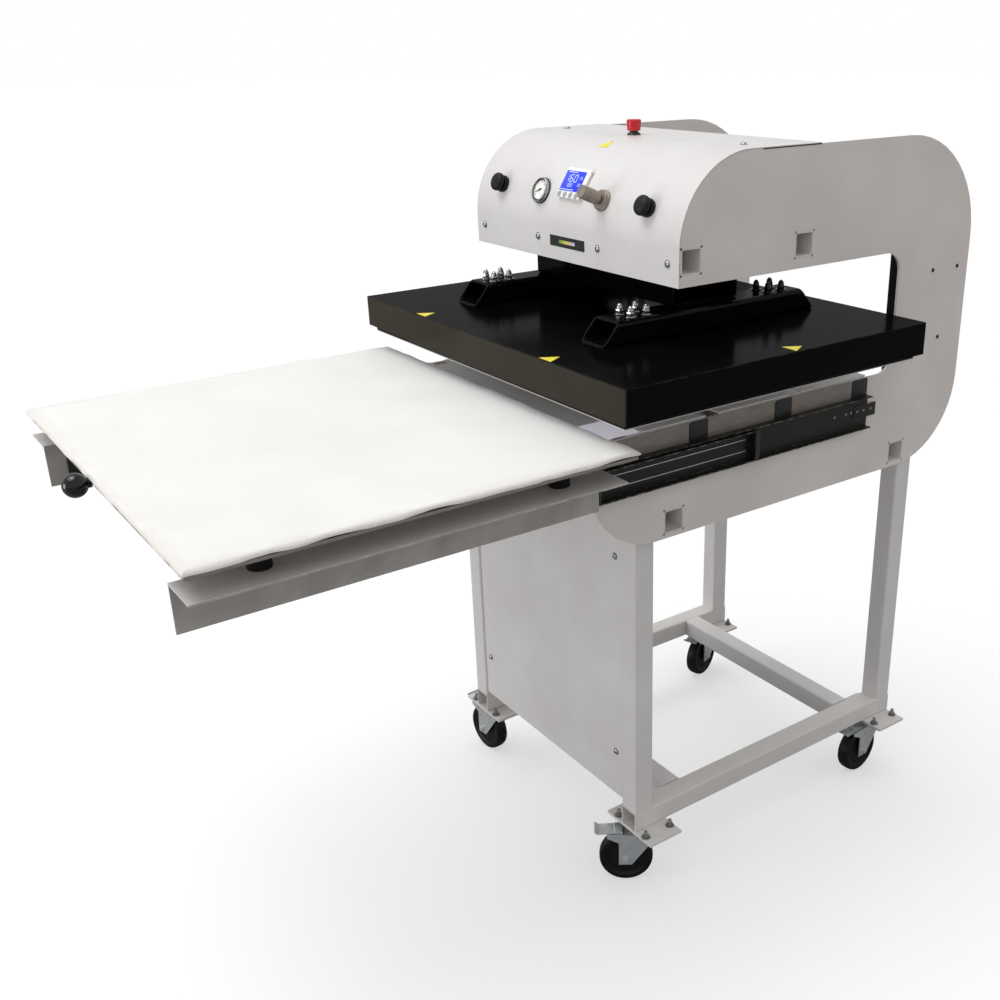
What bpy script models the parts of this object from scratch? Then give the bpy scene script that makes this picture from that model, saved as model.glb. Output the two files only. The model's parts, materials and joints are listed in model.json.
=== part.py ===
"""Large-format pneumatic heat press on casters, with a pull-out lower table.

+Z is up, the floor is z = 0 and the operator stands on the -Y side.  Every Y
below is measured from the middle of the heated platen.  The press_centre
empty then carries the whole press forward or back, so that the middle of its
footprint is the origin.  All sizes are in metres.
"""

import math

import bmesh
import bpy
from mathutils import Matrix, Vector

# ---------------------------------------------------------------- general
PRESS_Y = 0.2595  # from the footprint's middle to the platen's middle
GAP = 0.0003  # left between pieces that touch
BITE = 0.0005  # how far one welded shape reaches into the next
MERGE = 1e-6
CORNER_SEGMENTS = 3
ARC_SEGMENTS = 12
ROUND_STEPS = 20
SMOOTH_ANGLE = math.radians(30)
SIDES = {"left": -1, "right": 1}

# ---------------------------------------------------------------- square tube
TUBE = 0.050
TUBE_WALL = 0.0025
TUBE_RADIUS = 0.005

# ---------------------------------------------------------------- side plates
PLATE_OUTER_X = 0.365
PLATE_THICKNESS = 0.006
PLATE_INNER_X = PLATE_OUTER_X - PLATE_THICKNESS
PLATE_BACK_Y = 0.7095
UPPER_ARM_FRONT_Y = -0.1645
UPPER_ARM_TOP_Z = 1.626
UPPER_ARM_BOTTOM_Z = 1.3838
UPPER_ARM_RADIUS = 0.175
BACK_TOP_RADIUS = 0.233
BACK_BOTTOM_RADIUS = 0.193
LOWER_ARM_FRONT_Y = -0.379
LOWER_ARM_TOP_Z = 1.1128
LOWER_ARM_BOTTOM_Z = 0.8755
LOWER_ARM_RADIUS = 0.160
THROAT_BACK_Y = 0.4705
THROAT_RADIUS = 0.045
EAR_RADIUS = 0.0035  # relief at each corner of a tube's square hole
EAR_SEGMENTS = 4

# ---------------------------------------------------------------- cross tubes
UPPER_TUBE_Z = 1.4315
LOWER_TUBE_Z = 0.911
UPPER_TUBE_FRONT_Y = -0.136
UPPER_TUBE_REAR_Y = 0.1656
LOWER_TUBE_FRONT_Y = -0.1705
LOWER_TUBE_REAR_Y = 0.510
CROSS_TUBES = {
    "upper_tube_front": (UPPER_TUBE_FRONT_Y, UPPER_TUBE_Z),
    "upper_tube_rear": (UPPER_TUBE_REAR_Y, UPPER_TUBE_Z),
    "lower_tube_front": (LOWER_TUBE_FRONT_Y, LOWER_TUBE_Z),
    "lower_tube_rear": (LOWER_TUBE_REAR_Y, LOWER_TUBE_Z),
}

# ---------------------------------------------------------------- bed
BED_TUBE_FIRST_Y = -0.347
BED_TUBE_PITCH = 0.23775
BED_TUBE_COUNT = 4
BED_TUBE_Z = 1.088
BED_SHEET_TOP_Z = 1.1163
BED_SHEET_FRONT_Y = -0.372
BED_SHEET_BACK_Y = 0.391
BED_SHEET_X = PLATE_INNER_X - 0.0007
BED_NOTCH_X = 0.325  # cable notches in the sheet's side edges
BED_NOTCH_LENGTH = 0.035

# ---------------------------------------------------------------- top cover
COVER_X = 0.3655
COVER_OFFSET = 0.0004  # from the plates' edge to the sheet's inside
COVER_SHEET = 0.0018
COVER_BACK_Y = 0.200
COVER_SURFACE = COVER_OFFSET + COVER_SHEET

# ---------------------------------------------------------------- controls
PANEL_ANGLE = math.radians(23)  # of the outward normal above the horizontal
DOME_STEPS = 4
DOME_RISE = 1.6  # of a third of the cap's height
FITTING_SKIRT = 0.005  # reaches below the seat, and is trimmed to the cover
PALM_X = 0.262
PALM_COLLAR_RADIUS = 0.017
PALM_COLLAR_HEIGHT = 0.010
PALM_BORE_RADIUS = 0.0095
PALM_STEM_RADIUS = 0.009
PALM_STEM_FOOT = 0.0055
PALM_CAP_RADIUS = 0.020
PALM_CAP_FOOT = 0.016
PALM_CAP_HEIGHT = 0.032
GAUGE_X = -0.110
GAUGE_RADIUS = 0.030
GAUGE_HEIGHT = 0.014
GAUGE_BEZEL = 0.0035
GAUGE_RECESS = 0.003
REGULATOR_X = 0.110
REGULATOR_RADIUS = 0.022
REGULATOR_HEIGHT = 0.012
REGULATOR_NECK_RADIUS = 0.009
REGULATOR_NECK_TOP = 0.0165
REGULATOR_KNOB_RADIUS = 0.014
REGULATOR_KNOB_FOOT = 0.017
REGULATOR_KNOB_TOP = 0.060
CONTROLLER_ANGLE = math.radians(32.1)
CONTROLLER_WIDTH = 0.084
CONTROLLER_LENGTH = 0.074
CONTROLLER_HEIGHT = 0.006
CONTROLLER_CORNER = 0.005
ESTOP_X = -0.042
ESTOP_Y = 0.045
ESTOP_BASE_RADIUS = 0.015
ESTOP_BASE_HEIGHT = 0.010
ESTOP_BORE_RADIUS = 0.0085
ESTOP_STEM_RADIUS = 0.008
ESTOP_STEM_FOOT = 0.0055
ESTOP_HEAD_RADIUS = 0.016
ESTOP_HEAD_FOOT = 0.015
ESTOP_HEAD_TOP = 0.032

# ---------------------------------------------------------------- lifting gear
ARM_X = {"left": -0.272, "right": 0.217}
ARM_WIDTH = 0.080
ARM_WALL = 0.004
ARM_RADIUS = 0.009
ARM_BOTTOM_Z = 1.2616
ARM_TOP_Z = 1.309
ARM_FRONT_Y = -0.264
ARM_BACK_Y = 0.318
ARM_RAKE = 0.85  # how much shorter the ends get for each metre of height
CROSSHEAD_X = (ARM_X["left"] + ARM_X["right"]) / 2
CROSSHEAD_Y = 0.028
CROSSHEAD_HALF_X = 0.249
CROSSHEAD_HALF_Y = 0.0895
CROSSHEAD_TOP_Z = 1.369
CROSSHEAD_WALL = 0.005
CROSSHEAD_RADIUS = 0.007
BRIDGE_HALF_X = 0.100
BRIDGE_THICKNESS = 0.010
BRIDGE_BOTTOM_Z = UPPER_TUBE_Z + TUBE / 2 + GAP
ROD_HOLE_RADIUS = 0.0175
ROD_RADIUS = 0.016
CYLINDER_RADIUS = 0.070
CYLINDER_BORE_RADIUS = 0.0625
CYLINDER_HEIGHT = 0.131
CYLINDER_END = 0.012
PISTON_RADIUS = 0.0620
PISTON_THICKNESS = 0.028
PISTON_TOP_CLEARANCE = 0.002

# ---------------------------------------------------------------- platen
PLATEN_HALF_X = 0.5055
PLATEN_HALF_Y = 0.4012
PLATEN_BOTTOM_Z = 1.1929
PLATEN_TOP_Z = 1.2613
PLATEN_SHEET = 0.002
PLATEN_CORNER = 0.004
PLATEN_EDGE = 0.0015
HEATER_HALF_X = 0.487
HEATER_HALF_Y = 0.390
HEATER_BOTTOM_Z = 1.180
HEATER_TOP_Z = 1.200
HEATER_BEVEL = 0.001
INSULATION_HALF_X = 0.480
INSULATION_HALF_Y = 0.380
INSULATION_TOP_Z = PLATEN_TOP_Z - PLATEN_SHEET - BITE

# ---------------------------------------------------------------- slides
SLIDE_Z = 1.0345
SLIDE_SHEET = 0.0022
SLIDE_OUTER_WEB_X = 0.3655
SLIDE_OUTER_TIP_X = 0.3830
SLIDE_OUTER_HALF_Z = 0.037
SLIDE_OUTER_Y = (-0.372, 0.395)
SLIDE_MIDDLE_WEB_X = 0.3705
SLIDE_MIDDLE_TIP_X = 0.3900
SLIDE_MIDDLE_HALF_Z = 0.033
SLIDE_MIDDLE_Y = (-0.739, 0.028)
SLIDE_INNER_WEB_X = 0.3937
SLIDE_INNER_TIP_X = 0.3760
SLIDE_INNER_HALF_Z = 0.027
SLIDE_INNER_Y = (-1.142, -0.375)

# ---------------------------------------------------------------- table
RAIL_WEB_X = 0.394
RAIL_SHEET = 0.003
RAIL_FLANGE_X = 0.489
RAIL_BOTTOM_Z = 0.9947
RAIL_TOP_Z = 1.0817
RAIL_Y = (-1.179, -0.383)
TABLE_HALF_X = 0.4915
TABLE_Y = (-1.180, -0.362)
TABLE_Z = (1.1212, 1.1272)
TABLE_BEVEL = 0.0008
STANDOFF_X = 0.425
STANDOFF_Y = (-1.048, -0.491)
STANDOFF_RADIUS = 0.015
PAD_OVERHANG_X = 0.0015
PAD_OVERHANG_Y = 0.002
PAD_THICKNESS = 0.012
PAD_CORNER = 0.006
KNOB_RADIUS = 0.022
KNOB_CENTRE_Y = -1.2065
KNOB_NECK_RADIUS = 0.0028
KNOB_NECK_LENGTH = 0.0025
KNOB_STEM_RADIUS = 0.005
KNOB_RINGS = 8

# ---------------------------------------------------------------- stand
LEG_X = 0.3205
LEG_FRONT_Y = -0.2303
LEG_REAR_Y = 0.5727
LEG_TOP_Z = 0.940
RAIL_LOW_Z = 0.1555
RAIL_HIGH_Z = RAIL_LOW_Z + TUBE
REAR_CROSS_Y = 0.4650
PANEL_FRONT_Y = -0.250
PANEL_DEPTH = 0.020
PANEL_Z = (0.217, 1.050)
PANEL_SHEET = 0.0015
PANEL_CORNER = 0.003
PANEL_EDGE = 0.001
PAD_PLATE_HALF_X = 0.080
PAD_PLATE_HALF_Y = 0.045
PAD_PLATE_BOTTOM_Z = 0.1495
CASTER_PLATE_HALF_X = 0.070
CASTER_PLATE_HALF_Y = 0.042
CASTER_PLATE_BOTTOM_Z = 0.1455
ELECTRICS_HALF_X = 0.220
ELECTRICS_Y = (-0.190, 0.530)
ELECTRICS_TOP_Z = 1.040
ELECTRICS_SHEET = 0.0015
DUCT_X = (0.3335, 0.3587)
DUCT_Y = (0.474, 0.514)
DUCT_Z = (1.000, 1.500)
DUCT_BEVEL = 0.002

# ---------------------------------------------------------------- casters
CASTER_Y = {"front": -0.210, "rear": 0.553}
CASTER_HEADING = {  # the way each wheel trails, in degrees from +X
    "front_left": 185,
    "rear_left": 288,
    "rear_right": 275,
    "front_right": 234,
}
TRAIL = 0.042
WHEEL_RADIUS = 0.0625
WHEEL_HALF_WIDTH = 0.017
WHEEL_STEPS = 24
TREAD_EDGE = 0.005
RIM_RADIUS = 0.046
RIM_DEPTH = 0.004
HUB_RADIUS = 0.018
HUB_HALF_WIDTH = 0.0195
AXLE_BORE_RADIUS = 0.0060
AXLE_RADIUS = 0.0055
AXLE_HALF_LENGTH = 0.030
CHEEK_INNER = 0.0205
CHEEK_SHEET = 0.003
CHEEK_TOP_Z = 0.1312
CHEEK_FOOT_Z = 0.049
CHEEK_LEAD = -0.026
CHEEK_ARM = 0.086
CHEEK_ARM_UNDER_Z = 0.123
CHEEK_BACK = 0.059
CHEEK_ELBOW_Z = 0.109
CHEEK_FOOT_LEAD = 0.029
CHEEK_LEAD_Z = 0.124
CROWN_Z = (0.1285, 0.1315)
CROWN_LENGTH = (-0.027, 0.046)
CROWN_HALF_WIDTH = 0.0237
RACE_RADIUS = 0.029
RACE_FOOT_Z = 0.130
PEDAL_HALF_WIDTH = 0.0185
PEDAL_PIVOT = (0.060, 0.1325)
PEDAL_SHEET = 0.003
PEDAL_TIP = 0.116
PEDAL_SHOE = 0.011
PEDAL_LIP = 0.007

# ---------------------------------------------------------------- materials
MATERIALS = {  # colour, roughness, metallic
    "white_paint": ((0.80, 0.80, 0.79), 0.45, 0.0),
    "black_paint": ((0.015, 0.015, 0.016), 0.45, 0.0),
    "slide_steel": ((0.30, 0.30, 0.31), 0.40, 0.9),
    "zinc_steel": ((0.62, 0.64, 0.66), 0.32, 1.0),
    "bright_steel": ((0.70, 0.70, 0.70), 0.25, 1.0),
    "heater_aluminium": ((0.70, 0.70, 0.71), 0.35, 1.0),
    "insulation_board": ((0.62, 0.56, 0.44), 0.90, 0.0),
    "silicone_pad": ((0.72, 0.72, 0.71), 0.80, 0.0),
    "black_plastic": ((0.02, 0.02, 0.02), 0.35, 0.0),
    "wheel_plastic": ((0.012, 0.012, 0.013), 0.50, 0.0),
    "red_plastic": ((0.60, 0.03, 0.03), 0.30, 0.0),
    "white_plastic": ((0.78, 0.78, 0.76), 0.40, 0.0),
    "gauge_chrome": ((0.80, 0.80, 0.82), 0.12, 1.0),
    "regulator_metal": ((0.34, 0.30, 0.27), 0.35, 0.8),
}


# ================================================================ shapes
AXIS_ORDER = {"X": (1, 2, 0), "Y": (0, 2, 1), "Z": (0, 1, 2)}


def place(u, v, along, axis):
    """Return the point at (u, v) in the outline's plane and at along on its axis."""
    spot = [0.0, 0.0, 0.0]
    for value, index in zip((u, v, along), AXIS_ORDER[axis]):
        spot[index] = value
    return Vector(spot)


def circle(radius, steps=ROUND_STEPS, centre=(0.0, 0.0)):
    """Outline of a circle."""
    angles = [math.tau * step / steps for step in range(steps)]
    return [
        (centre[0] + radius * math.cos(angle), centre[1] + radius * math.sin(angle))
        for angle in angles
    ]


def rectangle(low_u, high_u, low_v, high_v):
    """Outline of a rectangle with sharp corners."""
    return [(low_u, low_v), (high_u, low_v), (high_u, high_v), (low_u, high_v)]


def rounded_rectangle(width, height, radius):
    """Outline of a rectangle with round corners, centred on the origin."""
    points = []
    for quarter, (side_u, side_v) in enumerate(((1, 1), (-1, 1), (-1, -1), (1, -1))):
        centre_u = side_u * (width / 2 - radius)
        centre_v = side_v * (height / 2 - radius)
        for step in range(CORNER_SEGMENTS + 1):
            angle = math.pi / 2 * (quarter + step / CORNER_SEGMENTS)
            u = centre_u + radius * math.cos(angle)
            points.append((u, centre_v + radius * math.sin(angle)))
    return points


def filleted(corners):
    """Outline through corners given as (u, v, radius), each rounded by its radius."""
    points = []
    for index, (u, v, radius) in enumerate(corners):
        here = Vector((u, v))
        if radius == 0:
            points.append((u, v))
            continue
        before = (Vector(corners[index - 1][:2]) - here).normalized()
        after = (Vector(corners[(index + 1) % len(corners)][:2]) - here).normalized()
        half = before.angle(after) / 2
        centre = here + (before + after).normalized() * radius / math.sin(half)
        first = here + before * radius / math.tan(half) - centre
        last = here + after * radius / math.tan(half) - centre
        start = math.atan2(first.y, first.x)
        sweep = (math.atan2(last.y, last.x) - start + math.pi) % math.tau - math.pi
        for step in range(ARC_SEGMENTS + 1):
            angle = start + sweep * step / ARC_SEGMENTS
            arc = centre + radius * Vector((math.cos(angle), math.sin(angle)))
            points.append((arc.x, arc.y))
    return points


def eared_square(centre_u, centre_v, half):
    """Outline of a square hole whose corners are relieved by small round ears."""
    points = []
    for quarter, (side_u, side_v) in enumerate(((1, 1), (-1, 1), (-1, -1), (1, -1))):
        corner_u = centre_u + side_u * half
        corner_v = centre_v + side_v * half
        start = math.pi / 2 * (quarter - 1)
        for step in range(EAR_SEGMENTS + 1):
            angle = start + math.pi * 1.5 * step / EAR_SEGMENTS
            u = corner_u + EAR_RADIUS * math.cos(angle)
            points.append((u, corner_v + EAR_RADIUS * math.sin(angle)))
    return points


def skin(bm, first, second):
    """Join two rings of equally many vertices with a band of quads."""
    for index in range(len(first)):
        bm.faces.new((first[index - 1], first[index], second[index], second[index - 1]))


def face_outward(bm):
    """Turn every face of a closed shape outward and hand the shape back."""
    bmesh.ops.recalc_face_normals(bm, faces=bm.faces[:])
    return bm


def prism(outline, axis, start, end, holes=()):
    """Solid with an outline and holes, from start to end along an axis."""
    bm = bmesh.new()
    edges = []
    for loop in (outline, *holes):
        verts = [bm.verts.new(place(u, v, start, axis)) for u, v in loop]
        edges += [bm.edges.new((verts[i - 1], verts[i])) for i in range(len(verts))]
    bmesh.ops.triangle_fill(bm, edges=edges, use_beauty=True, use_dissolve=False)
    extruded = bmesh.ops.extrude_face_region(bm, geom=bm.faces[:])
    moved = [item for item in extruded["geom"] if isinstance(item, bmesh.types.BMVert)]
    bmesh.ops.translate(bm, verts=moved, vec=place(0, 0, end - start, axis))
    return face_outward(bm)


def box(x, y, z, bevel=0.0):
    """Block between the limits given on each axis, with optional bevelled edges."""
    bm = bmesh.new()
    bmesh.ops.create_cube(bm, size=1)
    for vert in bm.verts:
        for index, (low, high) in enumerate((x, y, z)):
            vert.co[index] = low if vert.co[index] < 0 else high
    if bevel:
        bmesh.ops.bevel(
            bm, geom=bm.edges[:], offset=bevel, segments=2, affect="EDGES", profile=0.5
        )
    return face_outward(bm)


def tube(axis, centre, size, limits, wall=TUBE_WALL, radius=TUBE_RADIUS, rake=0.0):
    """Open-ended rectangular tube; rake draws its ends in as they rise."""
    bm = bmesh.new()
    width, height = size
    outer = rounded_rectangle(width, height, radius)
    inner = rounded_rectangle(width - 2 * wall, height - 2 * wall, radius - wall)
    start, end = limits
    rings = []
    for profile, limit, way in (
        (outer, start, 1), (outer, end, -1), (inner, end, -1), (inner, start, 1)
    ):
        ring = []
        for u, v in profile:
            along = limit + way * rake * (v + height / 2)
            ring.append(bm.verts.new(place(centre[0] + u, centre[1] + v, along, axis)))
        rings.append(ring)
    for index in range(len(rings)):
        skin(bm, rings[index - 1], rings[index])
    return face_outward(bm)


def open_box(axis, centre, size, limits, wall, radius, edge):
    """Five-sided sheet box along an axis, open at its first limit, closed at its last."""
    bm = bmesh.new()
    width, depth = size
    low, high = limits
    way = math.copysign(1, high - low)
    outer = rounded_rectangle(width, depth, radius)
    inner = rounded_rectangle(width - 2 * wall, depth - 2 * wall, radius - wall)
    crest = rounded_rectangle(width - 2 * edge, depth - 2 * edge, radius - edge)
    rings = []
    for profile, along in (
        (inner, high - way * wall), (inner, low), (outer, low),
        (outer, high - way * edge), (crest, high),
    ):
        rings.append([
            bm.verts.new(place(centre[0] + u, centre[1] + v, along, axis))
            for u, v in profile
        ])
    for first, second in zip(rings, rings[1:]):
        skin(bm, first, second)
    bm.faces.new(rings[0])
    bm.faces.new(rings[-1])
    return face_outward(bm)


def turned(profile, steps=ROUND_STEPS, looped=False):
    """Solid of revolution about Z through (radius, height) points."""
    bm = bmesh.new()
    verts = [bm.verts.new((radius, 0, height)) for radius, height in profile]
    pairs = list(zip(verts, verts[1:]))
    if looped:
        pairs.append((verts[-1], verts[0]))
    edges = [bm.edges.new(pair) for pair in pairs]
    bmesh.ops.spin(
        bm, geom=verts + edges, axis=(0, 0, 1), cent=(0, 0, 0), angle=math.tau, steps=steps
    )
    bmesh.ops.remove_doubles(bm, verts=bm.verts[:], dist=MERGE)
    return face_outward(bm)


def moved(bm, matrix):
    """Move a shape by a matrix and hand it back."""
    bmesh.ops.transform(bm, matrix=matrix, verts=bm.verts[:])
    return bm


def combined(bm, others, operation="UNION"):
    """Combine a shape with others by Boolean and hand back the one that results."""
    spares = []
    for shape in (bm, *others):
        mesh = bpy.data.meshes.new("spare")
        shape.to_mesh(mesh)
        shape.free()
        spare = bpy.data.objects.new("spare", mesh)
        bpy.context.collection.objects.link(spare)
        spares.append(spare)
    for other in spares[1:]:
        modifier = spares[0].modifiers.new("combine", "BOOLEAN")
        modifier.operation = operation
        modifier.object = other
    evaluated = spares[0].evaluated_get(bpy.context.evaluated_depsgraph_get())
    result = bmesh.new()
    result.from_mesh(evaluated.to_mesh())
    evaluated.to_mesh_clear()
    for spare in spares:
        mesh = spare.data
        bpy.data.objects.remove(spare)
        bpy.data.meshes.remove(mesh)
    bmesh.ops.remove_doubles(result, verts=result.verts[:], dist=MERGE)
    return result


# ================================================================ objects
def material(name):
    """Return the material of this name, made the first time it is asked for."""
    if name in bpy.data.materials:
        return bpy.data.materials[name]
    colour, roughness, metallic = MATERIALS[name]
    made = bpy.data.materials.new(name)
    made.use_nodes = True
    shader = made.node_tree.nodes["Principled BSDF"]
    shader.inputs["Base Color"].default_value = (*colour, 1.0)
    shader.inputs["Roughness"].default_value = roughness
    shader.inputs["Metallic"].default_value = metallic
    made.diffuse_color = (*colour, 1.0)
    return made


def new_mesh(name, bm, material_name):
    """Turn a shape into a smooth-shaded mesh with its material."""
    mesh = bpy.data.meshes.new(name)
    bm.to_mesh(mesh)
    bm.free()
    mesh.materials.append(material(material_name))
    mesh.shade_smooth()
    mesh.set_sharp_from_angle(angle=SMOOTH_ANGLE)
    return mesh


def add_mesh(name, mesh, parent, location=(0, 0, 0), rotation=(0, 0, 0)):
    """Place a mesh as an object under its parent."""
    made = bpy.data.objects.new(name, mesh)
    made.parent = parent
    made.location = location
    made.rotation_euler = rotation
    bpy.context.collection.objects.link(made)
    return made


def add(name, bm, material_name, parent, location=(0, 0, 0), rotation=(0, 0, 0)):
    """Place a shape as an object under its parent."""
    mesh = new_mesh(name, bm, material_name)
    return add_mesh(name, mesh, parent, location, rotation)


def add_empty(name, parent=None, location=(0, 0, 0), rotation=(0, 0, 0)):
    """Place an empty, which holds the pieces that move together."""
    return add_mesh(name, None, parent, location, rotation)


def span(side, inner, outer):
    """Limits on X between two distances from the middle, on the given side."""
    return tuple(sorted((side * inner, side * outer)))


# ================================================================ frame
def bed_tube_places():
    """Y of each cross tube under the bed."""
    return [BED_TUBE_FIRST_Y + index * BED_TUBE_PITCH for index in range(BED_TUBE_COUNT)]


def side_plate_outline():
    """Outline of a C-plate in (y, z), with a notch for each bed tube."""
    half = TUBE / 2 + GAP
    notch_floor = BED_TUBE_Z - half
    corners = [
        (UPPER_ARM_FRONT_Y, UPPER_ARM_BOTTOM_Z, 0),
        (UPPER_ARM_FRONT_Y, UPPER_ARM_TOP_Z, UPPER_ARM_RADIUS),
        (PLATE_BACK_Y, UPPER_ARM_TOP_Z, BACK_TOP_RADIUS),
        (PLATE_BACK_Y, LOWER_ARM_BOTTOM_Z, BACK_BOTTOM_RADIUS),
        (LOWER_ARM_FRONT_Y, LOWER_ARM_BOTTOM_Z, LOWER_ARM_RADIUS),
        (LOWER_ARM_FRONT_Y, LOWER_ARM_TOP_Z, 0),
    ]
    for y in bed_tube_places():
        corners += [
            (y - half, LOWER_ARM_TOP_Z, 0),
            (y - half, notch_floor, 0),
            (y + half, notch_floor, 0),
            (y + half, LOWER_ARM_TOP_Z, 0),
        ]
    corners += [
        (THROAT_BACK_Y, LOWER_ARM_TOP_Z, THROAT_RADIUS),
        (THROAT_BACK_Y, UPPER_ARM_BOTTOM_Z, THROAT_RADIUS),
    ]
    return filleted(corners)


def build_side_plates(frame):
    """C-plates that carry everything, with square holes for the cross tubes."""
    outline = side_plate_outline()
    holes = [eared_square(y, z, TUBE / 2 + GAP) for y, z in CROSS_TUBES.values()]
    for side_name, side in SIDES.items():
        start, end = span(side, PLATE_INNER_X, PLATE_OUTER_X)
        plate = prism(outline, "X", start, end, holes)
        add(f"side_plate_{side_name}", plate, "white_paint", frame)


def build_cross_tubes(frame):
    """Square tubes between the plates, their open ends flush with the plates."""
    for name, place_yz in CROSS_TUBES.items():
        shape = tube("X", place_yz, (TUBE, TUBE), (-PLATE_OUTER_X, PLATE_OUTER_X))
        add(name, shape, "white_paint", frame)


def bed_sheet_outline():
    """Outline of the bed sheet in (x, y), with cable notches in both side edges."""
    notches = [y + TUBE / 2 for y in bed_tube_places()[:-1]]
    right = []
    for start in notches:
        end = start + BED_NOTCH_LENGTH
        right += [(BED_SHEET_X, start), (BED_NOTCH_X, start)]
        right += [(BED_NOTCH_X, end), (BED_SHEET_X, end)]
    right = [(BED_SHEET_X, BED_SHEET_FRONT_Y), *right, (BED_SHEET_X, BED_SHEET_BACK_Y)]
    left = [(-x, y) for x, y in reversed(right)]
    return right + left


def build_bed(frame):
    """Fixed bed: four square tubes with a sheet welded over them."""
    sheet_bottom = BED_TUBE_Z + TUBE / 2 - BITE
    sheet = prism(bed_sheet_outline(), "Z", sheet_bottom, BED_SHEET_TOP_Z)
    limits = (-PLATE_OUTER_X, PLATE_OUTER_X)
    tubes = [tube("X", (y, BED_TUBE_Z), (TUBE, TUBE), limits) for y in bed_tube_places()]
    add("bed_frame", combined(sheet, tubes), "white_paint", frame)


def cover_edge(offset):
    """Front and top edge of the plates in (y, z), moved outward, front foot first."""
    centre_y = UPPER_ARM_FRONT_Y + UPPER_ARM_RADIUS
    centre_z = UPPER_ARM_TOP_Z - UPPER_ARM_RADIUS
    radius = UPPER_ARM_RADIUS + offset
    points = [(UPPER_ARM_FRONT_Y - offset, UPPER_ARM_BOTTOM_Z)]
    for step in range(ARC_SEGMENTS + 1):
        angle = math.pi / 2 * step / ARC_SEGMENTS
        y = centre_y - radius * math.cos(angle)
        points.append((y, centre_z + radius * math.sin(angle)))
    points.append((COVER_BACK_Y, UPPER_ARM_TOP_Z + offset))
    return points


def build_top_cover(frame):
    """Bent sheet over the front and top edges of the upper arms."""
    outline = cover_edge(COVER_SURFACE) + cover_edge(COVER_OFFSET)[::-1]
    add("top_cover", prism(outline, "X", -COVER_X, COVER_X), "white_paint", frame)


def build_lift_mounting(frame):
    """Bridge plate on the two upper tubes, and the air cylinder that stands on it."""
    front = UPPER_TUBE_FRONT_Y - TUBE / 2
    back = UPPER_TUBE_REAR_Y + TUBE / 2
    left = CROSSHEAD_X - BRIDGE_HALF_X
    right = CROSSHEAD_X + BRIDGE_HALF_X
    hole = circle(ROD_HOLE_RADIUS, centre=(CROSSHEAD_X, CROSSHEAD_Y))
    top = BRIDGE_BOTTOM_Z + BRIDGE_THICKNESS
    outline = rectangle(left, right, front, back)
    bridge = prism(outline, "Z", BRIDGE_BOTTOM_Z, top, [hole])
    add("head_bridge", bridge, "black_paint", frame)
    ceiling = CYLINDER_HEIGHT - CYLINDER_END
    profile = [
        (0, ceiling),
        (CYLINDER_BORE_RADIUS, ceiling),
        (CYLINDER_BORE_RADIUS, CYLINDER_END),
        (ROD_HOLE_RADIUS, CYLINDER_END),
        (ROD_HOLE_RADIUS, 0),
        (CYLINDER_RADIUS, 0),
        (CYLINDER_RADIUS, CYLINDER_HEIGHT),
        (0, CYLINDER_HEIGHT),
    ]
    foot = (CROSSHEAD_X, CROSSHEAD_Y, top + GAP)
    add("air_cylinder", turned(profile), "zinc_steel", frame, foot)


def build_electrics(frame):
    """Cover over the electrics, and the cable duct up the inside of a plate."""
    width = 2 * ELECTRICS_HALF_X
    depth = ELECTRICS_Y[1] - ELECTRICS_Y[0]
    centre = (0, sum(ELECTRICS_Y) / 2)
    limits = (LOWER_TUBE_Z + TUBE / 2 + GAP, ELECTRICS_TOP_Z)
    shape = open_box(
        "Z", centre, (width, depth), limits, ELECTRICS_SHEET, PANEL_CORNER, PANEL_EDGE
    )
    add("electrics_box", shape, "white_paint", frame)
    add("cable_duct", box(DUCT_X, DUCT_Y, DUCT_Z, DUCT_BEVEL), "black_plastic", frame)


# ================================================================ controls
def cover_seat(x, angle):
    """Frame that stands on the cover's curve, with +Z along its outward normal."""
    radius = UPPER_ARM_RADIUS + COVER_SURFACE
    y = UPPER_ARM_FRONT_Y + UPPER_ARM_RADIUS - radius * math.cos(angle)
    z = UPPER_ARM_TOP_Z - UPPER_ARM_RADIUS + radius * math.sin(angle)
    return Vector((x, y, z)), (math.pi / 2 - angle, 0, 0)


def seated(bm, location, rotation):
    """Trim a fitting's foot to the cover that it stands on."""
    corner = (COVER_BACK_Y, UPPER_ARM_BOTTOM_Z)
    outline = [*cover_edge(COVER_SURFACE + GAP), corner]
    cutter = prism(outline, "X", -PLATE_OUTER_X, PLATE_OUTER_X)
    stand = Matrix.Translation(location) @ Matrix.Rotation(rotation[0], 4, "X")
    return combined(bm, [moved(cutter, stand.inverted())], "DIFFERENCE")


def mushroom(stem, foot, cap_foot, cap, top):
    """Push button: a stem of one radius under a domed cap of another."""
    edge = (top - cap_foot) / 3
    dome = edge * DOME_RISE
    outline = [
        (0, foot),
        (stem, foot),
        (stem, cap_foot),
        (cap - edge / 3, cap_foot),
        (cap, cap_foot + edge / 2),
    ]
    for step in range(DOME_STEPS):
        angle = math.pi / 2 * step / DOME_STEPS
        outline.append((cap * math.cos(angle), top - dome + dome * math.sin(angle)))
    outline.append((0, top))
    return turned(outline)


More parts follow.
